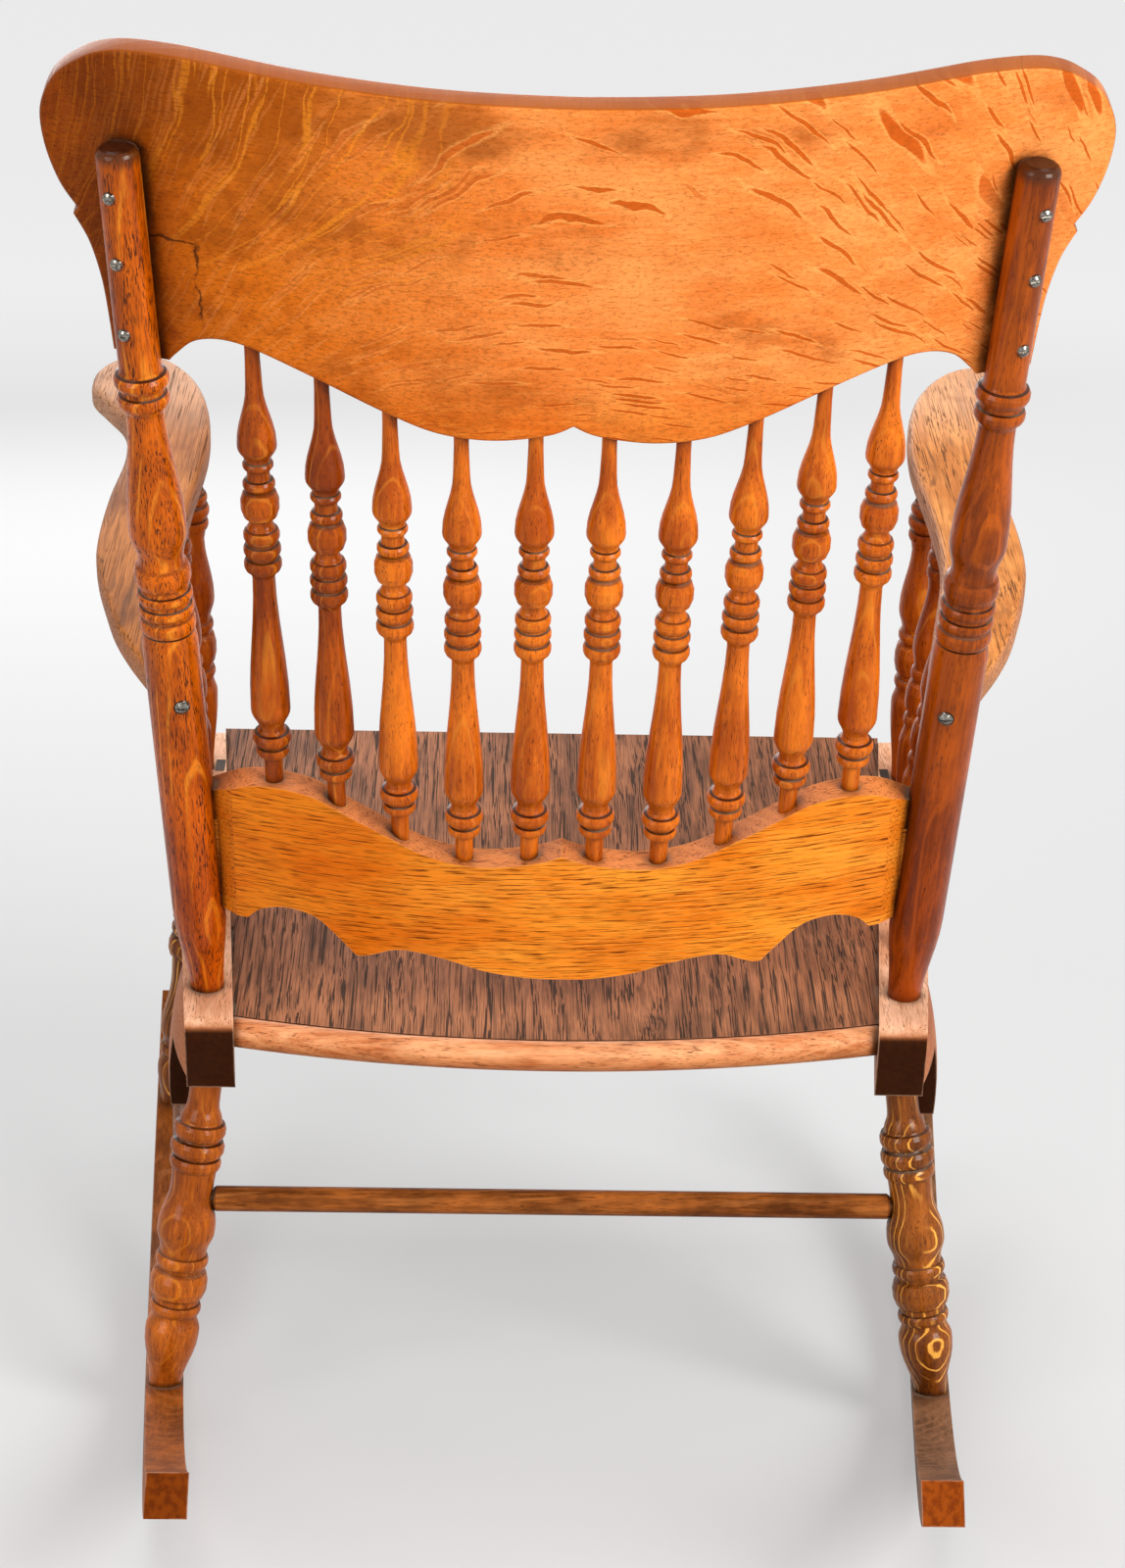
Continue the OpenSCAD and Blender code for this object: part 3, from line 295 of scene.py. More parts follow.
# Each kind of surface. Colours: light and dark wood, growth lines, pores, worn edges, end grain
# and, as fore, the end that faces along the grain. Amounts: lines, pores, wear and stain.
# rough and coat are the finish, wood has the values of the oak group, spin turns the grain,
# end_from is where end grain begins and bow is the radius of a bowed piece.
TURNED = dict(
    light=(192, 92, 18), dark=(142, 58, 8), line=(226, 136, 38), lines=0.4, pore=(70, 26, 4),
    pores=0.75, worn=(206, 128, 60), wear=0.2, end=(60, 24, 8), rough=0.38, coat=0.26,
    wood={"Ring": 5.5, "Line": 0.12, "Ripple": 0.3, "Warp": 6, "Pore length": 8,
          "Pore cover": 0.5})
POST_WOOD = {"Ring": 6.5, "Line": 0.14, "Ripple": 0.3, "Warp": 8, "Pore length": 8,
             "Pore width": 0.8}
ARM = dict(
    line=(98, 58, 32), lines=0.62, pore=(86, 50, 28), pores=0.85, worn=(206, 162, 136), wear=0.3,
    end=(150, 100, 72), rough=0.5, coat=0.02, stain=0.3,
    wood={"Ring": 5.4, "Line": 0.1, "Ripple": 0.3, "Warp": 6, "Pore length": 80,
          "Pore width": 0.9, "Pore cover": 0.7})
ROCKER = dict(
    lines=0.3, pores=0.65, coat=0.02, stain=0.6, end_from=(0.5, 0.75),
    wood={"Ring": 4.5, "Line": 0.3, "Pore length": 12, "Pore cover": 0.5})
LOOKS = {
    "turned": TURNED,
    "spindle": dict(TURNED, light=(230, 118, 24), dark=(170, 72, 6), wear=0.35),
    "dark_spindle": dict(TURNED, light=(186, 84, 6), dark=(124, 46, 2), wear=0.35),
    "left_leg": dict(TURNED, light=(206, 106, 28), dark=(138, 62, 8), stain=0.3),
    "leg": dict(
        TURNED, light=(164, 88, 26), dark=(98, 46, 10), line=(255, 178, 74), lines=1.0,
        pore=(52, 22, 6), rough=0.4, stain=0.25,
        wood={"Ring": 3.6, "Line": 0.13, "Ripple": 0.3, "Warp": 7, "Pore length": 7,
              "Pore cover": 0.6}),
    "left_post": dict(
        TURNED, light=(220, 104, 2), dark=(150, 60, 0), line=(246, 150, 40), lines=0.6,
        pore=(58, 20, 2), pores=0.9, rough=0.34, coat=0.28,
        wood={**POST_WOOD, "Pore cover": 0.75}),
    # The right post: plainer wood than the left post, and darker colours that are painted shade, as
    # its side towards the middle faces away from the key light.
    "post": dict(
        TURNED, light=(182, 82, 4), dark=(118, 47, 1), line=(196, 92, 10), lines=0.45,
        pore=(58, 20, 2), pores=0.6, rough=0.34, coat=0.3, wood={**POST_WOOD, "Pore cover": 0.5}),
    "lower": dict(
        light=(253, 154, 44), dark=(234, 120, 18), line=(255, 172, 74), lines=0.3,
        pore=(112, 46, 2), pores=0.95, worn=(240, 164, 92), wear=0.5, end=(140, 72, 24),
        rough=0.38, coat=0.06, spin=90, bow=BOW_R,
        wood={"Ring": 4, "Line": 0.3, "Ripple": 0.3, "Warp": 3, "Pore length": 19,
              "Pore width": 0.62, "Pore cover": 0.74}),
    "rail": dict(
        light=(250, 198, 162), dark=(212, 148, 108), line=(240, 186, 150), lines=0.35,
        pore=(110, 62, 34), pores=0.7, worn=(236, 186, 152), wear=0.4, end=(38, 9, 0),
        fore=(150, 84, 40), rough=0.5, coat=0.02, stain=0.25,
        wood={"Ring": 4.2, "Line": 0.3, "Pore length": 10, "Pore cover": 0.6}),
    "rear_rail": dict(
        light=(248, 176, 124), dark=(196, 112, 62), line=(246, 180, 130), lines=0.45,
        pore=(104, 48, 20), pores=0.75, worn=(228, 160, 112), wear=0.3, end=(110, 56, 24),
        rough=0.4, coat=0.1, stain=0.45,
        wood={"Ring": 4.5, "Line": 0.3, "Pore length": 12, "Pore cover": 0.6}),
    "seat": dict(
        light=(172, 108, 70), dark=(116, 70, 44), line=(180, 118, 82), lines=0.3,
        pore=(48, 34, 28), pores=0.92, worn=(190, 140, 108), wear=0.3, end=(90, 54, 34),
        rough=0.5, coat=0.0,
        wood={"Ring": 7, "Line": 0.3, "Ripple": 0.3, "Pore length": 64, "Pore width": 1.0,
              "Pore cover": 0.95}),
    "left_arm": dict(ARM, light=(204, 124, 54), dark=(146, 80, 26)),
    "right_arm": dict(ARM, light=(234, 156, 84), dark=(188, 112, 52)),
    "rocker": dict(
        ROCKER, light=(182, 98, 34), dark=(118, 58, 16), line=(200, 124, 70), pore=(74, 38, 18),
        worn=(190, 142, 112), wear=0.75, end=(116, 48, 2), rough=0.5),
    "grey_rocker": dict(
        ROCKER, light=(150, 104, 72), dark=(90, 58, 36), line=(172, 122, 86), pore=(66, 40, 24),
        worn=(178, 142, 118), wear=0.6, end=(142, 62, 6), rough=0.55),
    "stretcher": dict(
        light=(176, 98, 40), dark=(90, 44, 14), line=(196, 122, 62), lines=0.3, pore=(56, 28, 12),
        pores=0.7, worn=(188, 124, 76), wear=0.2, end=(84, 42, 20), rough=0.42, coat=0.06,
        stain=0.5, wood={"Ring": 4, "Line": 0.3, "Pore length": 12, "Pore cover": 0.6}),
    "crest": dict(
        light=(255, 156, 80), dark=(236, 124, 50), line=(255, 156, 80), lines=0.15,
        pore=(150, 74, 24), pores=0.45, worn=(228, 138, 60), wear=0.45, end=(150, 74, 14),
        rough=0.38, coat=0.05,
        wood={"Ring": 9, "Line": 0.3, "Pore length": 3.2, "Pore width": 0.7, "Pore cover": 0.5}),
    "plug": dict(
        light=(62, 42, 32), dark=(42, 28, 22), line=(70, 48, 36), lines=0.2, pore=(26, 18, 14),
        pores=0.4, worn=(90, 66, 50), wear=0.2, end=(40, 28, 22), rough=0.5, coat=0.02),
}
FEW_STAINS = 0.15
END_FROM = (0.72, 0.93)
STAIN_TINT = (0.34, 0.26, 0.2)
RING_TINT = (0.6, 0.5, 0.4)
SHADE_TINT = (0.3, 0.22, 0.15)
# Colour of grime in hollows, which also paints shade there.
GRIME_AND_SHADE = srgb(38, 17, 6)
DUST = srgb(190, 160, 134)
GRAIN_TILT = 2.2  # this and the next are degrees to either side
GRAIN_SPIN = 30
PITHS = (38, 70)  # least and greatest distance of the rings' centre
PLACES = 37  # in the wood, a metre apart, so that two pieces seldom share one


def piece_frame(ob, along=None):
    """Rotation into a piece's own frame, grain along Z and X out of the back, with its middle."""
    points = np.array([v.co for v in ob.data.vertices], float)
    middle = points.mean(0)
    if along is None:
        some = points[::7]
        along = np.linalg.svd(some - middle, full_matrices=False)[2][0]
    z = Vector(along).normalized()
    if z.z < 0:
        z = -z
    x = Vector((0, 1, 0)) if abs(z.y) < 0.9 else Vector((0, 0, 1))
    x = (x - z * x.dot(z)).normalized()
    return Matrix((x, z.cross(x), z)), Vector(middle)


def straightened(g, place, radius):
    """Places of a bowed piece, moved as if it were straight, so that its grain follows the bow."""
    x = g.split(place)[0]
    bend = g.mul(g.mul(x, x), 0.5 / (radius * MM))
    return g.vector("ADD", place, g.join(0, g.mul(bend, BACK_OUT[1]), g.mul(bend, BACK_OUT[2])))[0]


def oak(name, ob, look, seed, along=None, pith=None, extra=None):
    """An oak material for one piece. extra(graph, colour) may change its colour by place."""
    values = LOOKS[look]
    chance = random.Random(seed)
    turn, middle = piece_frame(ob, along)
    tilt = Matrix.Rotation(math.radians(chance.uniform(-GRAIN_TILT, GRAIN_TILT)), 3, "Y")
    spin = values.get("spin", 0) + chance.uniform(-GRAIN_SPIN, GRAIN_SPIN)
    turn = tilt @ Matrix.Rotation(math.radians(spin), 3, "Z") @ turn
    material, g = new_material(name)
    place, normal = g.coordinate("Object"), g.coordinate("Normal")
    shift = -(turn @ middle) * PER_METRE + Vector((0, 0, PER_METRE * (1 + seed % PLACES)))
    mapped = g.node("ShaderNodeMapping", {
        "Vector": straightened(g, place, values["bow"]) if "bow" in values else place,
        "Location": shift, "Rotation": turn.to_euler("XYZ"),
        "Scale": (PER_METRE, PER_METRE, PER_METRE)}).outputs[0]
    wood = g.node("ShaderNodeGroup", {}, node_tree=OAK)
    g.put(wood.inputs["Vector"], mapped)
    g.put(wood.inputs["Pith"], pith if pith is not None else chance.uniform(*PITHS))
    for key, value in values.get("wood", {}).items():
        g.put(wood.inputs[key], value)
    wood = wood.outputs
    age = g.node("ShaderNodeGroup", {"Vector": normal}, node_tree=AGE).outputs

    def colour(key):
        return srgb(*values[key])

    tone = g.step(g.add(g.mul(wood["Mottle"], 0.65), g.mul(wood["Streaks"], 0.35)), 0.36, 0.66)
    base = g.mix(tone, colour("dark"), colour("light"))
    base = g.lay(base, wood["Lines"], values["lines"], colour("line"))
    if extra:
        base = extra(g, base)
    base = g.lay(base, wood["Pores"], values["pores"], colour("pore"))
    stain = g.step(g.noise(place, scale=16, detail=4, rough=0.65), 0.46, 0.68)
    base = g.darken(base, g.mul(stain, values.get("stain", FEW_STAINS)), STAIN_TINT)

    facing = g.dot(normal, tuple(turn[2]))
    rings = g.noise(g.scaled(mapped, 0.22, 0.22, 0.03), detail=3)
    end_base = g.darken(colour("end"), g.step(rings, 0.4, 0.65), RING_TINT)
    if "fore" in values:
        end_base = g.mix(g.step(facing, 0.3, 0.7), end_base, colour("fore"))
    end = g.step(g.size(facing), *values.get("end_from", END_FROM))
    base = g.lay(base, end, 0.97, end_base)

    base = g.lay(base, age["Worn"], values["wear"], colour("worn"))
    base = g.darken(base, g.mul(age["Shade"], 0.75), SHADE_TINT)
    # Grime and painted shade in hollows.
    base = g.lay(base, age["Grime"], 0.8, GRIME_AND_SHADE)
    base = g.lay(base, age["Dust"], 0.3, DUST)
    rough = g.add(g.mul(wood["Pores"], 0.15), g.mul(age["Worn"], 0.12))
    rough = g.add(g.add(values["rough"], rough), g.mul(age["Grime"], 0.2))
    height = g.add(g.mul(wood["Pores"], -1), g.mul(wood["Lines"], 0.25))
    bump = g.node("ShaderNodeBump", {"Strength": 0.35, "Distance": 0.0004, "Height": height})
    shader = g.node("ShaderNodeBsdfPrincipled", {
        "Base Color": base, "Roughness": rough, "Normal": bump.outputs[0], "IOR": 1.5,
        "Specular IOR Level": 0.1, "Specular Tint": (1, 0.66, 0.34, 1),
        "Coat Weight": values["coat"], "Coat Roughness": 0.15})
    g.node("ShaderNodeOutputMaterial", {"Surface": shader.outputs[0]})
    return material


def steel(name):
    """Dark, aged steel of the screws."""
    material, g = new_material(name)
    rust = g.noise(g.coordinate("Object"), scale=900, detail=3)
    base = g.mix(g.step(rust, 0.42, 0.66), srgb(148, 144, 136), srgb(66, 58, 50))
    rough = g.add(0.1, g.mul(rust, 0.2))
    shader = g.node("ShaderNodeBsdfPrincipled",
                    {"Base Color": base, "Roughness": rough, "Metallic": 1.0})
    g.node("ShaderNodeOutputMaterial", {"Surface": shader.outputs[0]})
    return material


def dress(ob, material):
    """Gives an object one material in place of those that it has."""
    ob.data.materials.clear()
    ob.data.materials.append(material)


# Sawn boards.

def inside(points, outline):
    """Which of the points lie inside a closed outline."""
    result = np.zeros(len(points), bool)
    for (x0, y0), (x1, y1) in zip(outline, np.roll(outline, -1, axis=0)):
        crosses = (points[:, 1] < y0) != (points[:, 1] < y1)
        if crosses.any():
            at = x0 + (points[:, 1] - y0) / (y1 - y0 if y1 != y0 else 1) * (x1 - x0)
            result ^= crosses & (points[:, 0] < at)
    return result


def distance(points, line, closed=False):
    """Distance of each point from a row of line pieces, and how far along it the nearest place
    is, from 0 to 1."""
    near = np.full(len(points), 1e9)
    share = np.zeros(len(points))
    ends = np.roll(line, -1, axis=0) if closed else line[1:]
    starts = line if closed else line[:-1]
    for i, (a, b) in enumerate(zip(starts, ends)):
        d = b - a
        t = np.clip(((points - a) @ d) / max(d @ d, 1e-9), 0, 1)
        gap = np.linalg.norm(points - a - t[:, None] * d, axis=1)
        closer = gap < near
        near[closer] = gap[closer]
        share[closer] = ((i + t) / len(starts))[closer]
    return near, share


def even(outline, gap):
    """Points at even distances round a closed outline, with its corners kept."""
    out = []
    for a, b in zip(outline, np.roll(outline, -1, axis=0)):
        count = max(1, round(np.linalg.norm(b - a) / gap))
        out += [a + (b - a) * k / count for k in range(count)]
    return np.array(out)


def inward_steps(outline):
    """The way in from each point of a closed outline, longer at corners, as a mitre is."""
    forward = np.roll(outline, -1, axis=0) - np.roll(outline, 1, axis=0)
    forward /= np.linalg.norm(forward, axis=1)[:, None]
    area = 0.5 * np.sum(outline[:, 0] * np.roll(outline[:, 1], -1)
                        - outline[:, 1] * np.roll(outline[:, 0], -1))
    inward = np.stack([-forward[:, 1], forward[:, 0]], 1) * math.copysign(1, area)
    side = np.roll(outline, -1, axis=0) - outline
    side /= np.linalg.norm(side, axis=1)[:, None]
    bend = (side * np.roll(side, 1, axis=0)).sum(1)
    return inward / np.sqrt(np.clip((1 + bend) / 2, 0.3, 1))[:, None]


def inset(outline, inward, back):
    """A closed outline moved inwards. Each loop that it makes at a corner is drawn into one
    point."""
    moved = outline + inward * back
    for i in range(len(moved)):
        for between in (2, 3, 4):
            row = [(i + j) % len(moved) for j in range(between + 2)]
            start, other = moved[row[0]], moved[row[-2]]
            e, f, to = moved[row[1]] - start, moved[row[-1]] - other, other - start
            cross = e[0] * f[1] - e[1] * f[0]
            if abs(cross) > 1e-9:
                t = (to[0] * f[1] - to[1] * f[0]) / cross
                s = (to[0] * e[1] - to[1] * e[0]) / cross
                if 0 <= t <= 1 and 0 <= s <= 1:
                    moved[row[1:-1]] = start + t * e
    return moved


EASE_STEPS = [math.radians(a) for a in (0, 22, 45, 67, 90)]
GRID_CLEAR = 0.6  # from the outline to the grid's nearest point, as a share of the gap
WELD = 0.00001


def board(name, outline, thick, place, ease, gap, relief=None):
    """A sawn board with eased edges and points about gap apart. place(x, y, depth) gives its
    points, depth 0 to thick. relief(points) gives the height of the ornament on the face at the
    full depth."""
    outline = even(outline, gap)
    inward = inward_steps(outline)
    rings = [(ease * (1 - math.sin(a)), ease * (1 - math.cos(a))) for a in EASE_STEPS]
    rings += [(back, thick - depth) for back, depth in reversed(rings)]
    cap = inset(outline, inward, ease)
    low, high = outline.min(0), outline.max(0)
    grid = np.meshgrid(np.arange(low[0], high[0], gap), np.arange(low[1], high[1], gap))
    grid = np.stack(grid, -1).reshape(-1, 2)
    grid = grid[inside(grid, cap)]
    grid = grid[distance(grid, cap, True)[0] > gap * GRID_CLEAR]
    count = len(outline)
    loop = [(i, (i + 1) % count) for i in range(count)]
    flat = [Vector(p) for p in np.concatenate([cap, grid])]
    made = delaunay_2d_cdt(flat, loop, [], 1, 1e-6)
    face_points = np.array([tuple(p) for p in made[0]])
    triangles = [tuple(f) for f in made[2]]
    origin = [o[0] if o else -1 for o in made[3]]
    rise = relief(face_points) if relief else np.zeros(len(face_points))
    verts, faces, ring_start = [], [], []
    for back, depth in rings:
        ring_start.append(len(verts))
        verts += [place(*p, depth) for p in inset(outline, inward, back)]
    for a, b in zip(ring_start, ring_start[1:]):
        faces += [(a + i, a + j, b + j, b + i) for i, j in loop]
    for start, depth, sign in ((ring_start[0], 0, 0), (ring_start[-1], thick, 1)):
        index = {}
        for i, (p, o) in enumerate(zip(face_points, origin)):
            if 0 <= o < count:
                index[i] = start + o
            else:
                index[i] = len(verts)
                verts.append(place(p[0], p[1], depth + sign * rise[i]))
        for t in triangles:
            t = [index[i] for i in t]
            faces.append(tuple(t if sign == 0 else reversed(t)))
    mesh = bpy.data.meshes.new(name)
    mesh.from_pydata([v * MM for v in verts], [], faces)
    mesh.validate()
    ob = bpy.data.objects.new(name, mesh)
    bpy.context.scene.collection.objects.link(ob)
    bm = bmesh.new()
    bm.from_mesh(mesh)
    bmesh.ops.remove_doubles(bm, verts=bm.verts, dist=WELD)
    bmesh.ops.recalc_face_normals(bm, faces=bm.faces)
    bm.to_mesh(mesh)
    bm.free()
    for polygon in mesh.polygons:
        polygon.use_smooth = True
    return ob


def crest_outline():
    """Outline of the crest rail, sideways and up along the back."""
    top, low, ear = CREST_TOP, CREST_BOTTOM, CREST_EAR
    lobe = [(0, low), (16, low - 7), (50, low - 12), (84, low - 9.5), (115, low + 1),
            (162, low + 21.5), (200, low + 36), (222, low + 40), (240, low + 36), (252, low + 25),
            (257, low + 19)]
    wing = [(ear - 38, low + 19), (ear - 35, low + 52), (ear - 32, low + 72),
            (ear - 26, low + 93), (ear - 17, low + 109)]
    edge = [(ear - 20, top - 101), (ear - 9, top - 85.5), (ear - 1, top - 62), (ear, top - 38),
            (ear - 10, top - 16), (ear - 26, top - 2), (ear - 41, top + 6), (ear - 60, top + 10.3),
            (ear - 90, top + 11.3), (ear - 122, top + 9), (175, top + 6), (125, top + 3),
            (77, top + 1), (0, top)]
    half = curve(lobe) + curve(wing) + curve(edge)
    other_half = [np.array((-p[0], p[1])) for p in reversed(half)]
    return np.array(half + other_half[1:-1])


def arm_outline():
    """Outline of the left arm, in the arm frame."""
    axis = POST_TRACK / 2 + ARM_HEIGHT * math.tan(POST_SPLAY)
    reach, end = ARM_REACH, -ARM_LEN
    points = [
        (axis + 19, -1), (axis + 35, -35), (axis + 49, -71), (axis + 59, -107),
        (reach - 47, -148), (reach - 40, -191), (reach - 38, -236), (reach - 39, -293),
        (reach - 43, -361), (reach - 36, -422), (reach - 17, end + 105.5), (reach - 3, end + 79),
        (reach, end + 58), (reach - 2, end + 36), (reach - 13, end + 14.5), (reach - 36, end),
        (reach - 59, end + 12.5), (reach - 80, end + 45), (reach - 94, end + 86),
        (reach - 102.5, end + 135), (reach - 106, -377), (reach - 104, -317), (reach - 102, -271),
        (reach - 102.5, -193), (axis - 3, -91), (axis - 13.5, -30), (axis - 15, -1)]
    return np.array(curve(points))


def crest_place(u, w, depth):
    """A point of the crest rail, at a depth under its rear face."""
    radius = BOW_R - depth
    return back_point(u, CREST_BACK - BOW_R + math.sqrt(radius * radius - u * u), w)


# Pressed ornament. Points are sideways and up, from the ornament's middle.
ORNAMENT_UP = 606
PRESSED = 1.5  # how much higher than their given height the ridges are
FAN_UP = -26  # the fan's centre
LEAVES = (  # points, width, height, taper
    (((6, -52), (40, -62), (84, -50), (118, -22)), 5.5, 2.6, 0.4),
    (((118, -26), (150, -40), (190, -30), (222, 2)), 5.5, 2.6, 0.3),
    (((96, 22), (112, 46), (146, 62), (186, 60)), 5, 2.4, 0.6),
    (((176, 26), (190, 44), (206, 52)), 4.5, 2.4, 0.6),
    (((180, 10), (176, -4), (184, -18)), 4, 2.2, 0.5),
    (((60, -72), (100, -84), (150, -66), (204, -40)), 4, 2, 0.6),
)
SCROLLS = (  # place, size, turns, first angle, width of the ridge
    (140, 4, 32, 1.4, -120, 5.2),
    (244, 30, 30, 1.3, -150, 5),
)
SCROLL_STEPS = 40
BEADS = 210
RIM_IN, BEADS_IN, RIM_WIDTH = 8.5, 14.5, 2.8


def spiral(x, y, size, turns, start):
    """A scroll that winds in to its eye, counterclockwise."""
    out = []
    for i in range(SCROLL_STEPS):
        t = i / (SCROLL_STEPS - 1)
        r = size * (1 - t) ** 0.8 + size * 0.08
        a = math.radians(start) + t * turns * 2 * math.pi
        out.append((x + r * math.cos(a), y + r * math.sin(a)))
    return out


def rounded(away, width):
    """Height of a round ridge of height 1, by the distance from its middle line."""
    return np.sqrt(np.clip(1 - (away / width) ** 2, 0, None))


def crest_relief(points, outline):
    """Pressed ornament: a fan in the middle, scrolls and leaves to each side, and a beaded edge."""
    half = np.stack([np.abs(points[:, 0]), points[:, 1] - ORNAMENT_UP], 1)
    rise = np.zeros(len(points))

    def ridge(line, width, height, taper=0.0):
        line = np.array(line, float)
        near = (half > line.min(0) - 3 * width).all(1) & (half < line.max(0) + 3 * width).all(1)
        if near.any():
            gap, share = distance(half[near], line)
            new = PRESSED * height * rounded(gap, width * (1 - taper * share))
            rise[near] = np.maximum(rise[near], new)

    def fan_point(angle, radius):
        a = math.radians(angle)
        return math.cos(a) * radius, FAN_UP + math.sin(a) * radius

    for k in range(7):
        ridge([fan_point(90 - k * 16, r) for r in (16, 62 + 8 * (k % 2))], 6.5, 2.6)
    ridge([fan_point(angle, 11) for angle in range(-90, 91, 15)], 4, 2.4)
    ridge([(0, FAN_UP), (0.1, FAN_UP)], 7, 3)
    for line, width, height, taper in LEAVES:
        ridge(curve(line), width, height, taper)
    for x, y, size, turns, start, width in SCROLLS:
        ridge(spiral(x, y, size, turns, start), width, 2.8, 0.35)
    for k in range(5):
        petal = [(206 + 12 * k, 62 - 7 * k), (222 + 12 * k, 70 - 8 * k)]
        ridge(curve(petal, 2), 3.4, 1.8, 0.5)
    gap, share = distance(points, outline, True)
    rise = np.maximum(rise, 2.4 * rounded(gap - RIM_IN, RIM_WIDTH))
    beads = np.abs(np.sin(share * math.pi * BEADS))
    rise = np.maximum(rise, 2 * beads * rounded(gap - BEADS_IN, RIM_WIDTH))
    ground = 1.3 * np.clip((gap - 18) / 3, 0, 1) * np.clip(1 - rise / 1.2, 0, 1)
    return np.where(gap > 4, rise - ground, 0)


# Colours by place.

def back_place(g):
    """Place of a point, and its distances sideways and up in the back frame, in millimetres."""
    place = g.coordinate("Object")
    foot = Vector(BACK_UP).dot(back_point(0, 0, 0) * MM)
    height = g.add(g.dot(place, BACK_UP), -foot)
    return place, g.mul(g.split(place)[0], PER_METRE), g.mul(height, PER_METRE)


def post_colour(g, base):
    """The posts are deeper in colour near their feet, and their domed tops are dark with
    handling."""
    up = back_place(g)[2]
    base = g.darken(base, g.mul(g.step(up, POST_LEN - 60, POST_LEN - 10), 0.4), (0.5, 0.42, 0.3))
    base = g.darken(base, g.flip(g.step(up, 80, 320)), (0.86, 0.7, 0.4))
    return g.lay(base, g.step(up, POST_LEN - 13, POST_LEN - 3), 0.85, srgb(58, 30, 14))


def lower_colour(g, base):
    """The lower rail has painted shade towards its left end, away from the key light, and its sawn
    edges are rubbed to a pinkish brown.
    """
    u = back_place(g)[1]
    # Painted shade: darker towards the rail's left end, away from the key light.
    base = g.darken(base, g.step(u, 10, 190), (0.84, 0.68, 0.36))
    edge = g.flip(g.step(g.size(g.dot(g.coordinate("Normal"), BACK_OUT)), 0.45, 0.85))
    return g.lay(base, edge, 0.75, srgb(206, 124, 74))


def rail_colour(g, base):
    """The rails are paler on top, where they are rubbed, and browner at their sides."""
    up = g.step(g.dot(g.coordinate("Normal"), SEAT_UP), 0.5, 0.9)
    return g.darken(base, g.mul(g.flip(up), 0.88), (0.46, 0.21, 0.06))


def bar_colour(g, base):
    """The rear rail is deeper in colour below."""
    up = g.step(g.dot(g.coordinate("Normal"), SEAT_UP), -0.1, 0.75)
    return g.darken(base, g.mul(g.flip(up), 0.8), (0.72, 0.54, 0.36))


def arm_colour(g, base):
    """The sides of the arms are worn to a pinkish grey, and their fronts are pale."""
    up = g.step(g.dot(g.coordinate("Normal"), ARM_UP), 0.55, 0.95)
    base = g.lay(base, g.flip(up), 0.6, srgb(170, 116, 88))
    front = g.flip(g.step(g.split(g.coordinate("Object"))[1], -0.33, -0.2))
    return g.lay(base, front, 0.45, srgb(232, 188, 156))


# Heights and sideways places of the figure and the crack on the crest rail's rear face.
ARCH_FOOT = 400
THREADS_FROM = (556, 612)
CRACK_U, CRACK_UP = 236, (544, 596)
SEAM_U = (236, 268)
# The side colour is the crest's deeper left side, partly painted shade; the top edge colour is
# painted shade on the up-facing edge.
CREST_COLOURS = {
    "side": srgb(214, 106, 0), "shade": srgb(138, 62, 4), "pale arch": srgb(250, 156, 78),
    "thread": srgb(240, 142, 36), "border": srgb(255, 172, 90), "fleck": srgb(196, 78, 0),
    "speck": srgb(132, 58, 4), "crack": srgb(44, 18, 6), "shaded top edge": srgb(146, 70, 6),
}


def flecks(g, across, along, seen, low, high):
    """Spindle-shaped flecks in the cells of two coordinates, and their borders. seen is the share
    of cells that have one, low and high are their least and greatest size."""
    cells = g.node("ShaderNodeTexVoronoi", {"Vector": g.join(across, along, 0), "Scale": 1},
                   voronoi_dimensions="2D")
    chance = g.split(cells.outputs["Color"])
    size = g.add(low, g.mul(chance[1], high - low))
    gap = g.math("DIVIDE", cells.outputs["Distance"], size)
    shown = g.step(chance[0], 1 - seen, 1.02 - seen)
    return g.mul(shown, g.flip(g.step(gap, 0.75, 1))), g.mul(shown, g.flip(g.step(gap, 0.9, 1.7)))


def crack_lines(g, place, u, up):
    """A jagged crack beside the left post, with a thin seam sideways from its top."""
    jag = g.add(g.noise(place, scale=60, detail=4, rough=0.6), -0.5)
    jag = g.add(g.add(u, -CRACK_U), g.mul(jag, 20))
    crack = g.mul(g.flip(g.step(g.size(jag), 0.4, 1.7)), g.band(up, *CRACK_UP, 4))
    seam = g.add(g.noise(place, scale=70, detail=3), -0.5)
    seam = g.add(g.add(up, -CRACK_UP[1]), g.mul(seam, 9))
    seam = g.mul(g.flip(g.step(g.size(seam), 0.3, 1.3)), g.band(u, *SEAM_U, 4))
    return g.mul(g.most(crack, seam), g.step(g.noise(place, scale=130), 0.34, 0.5))


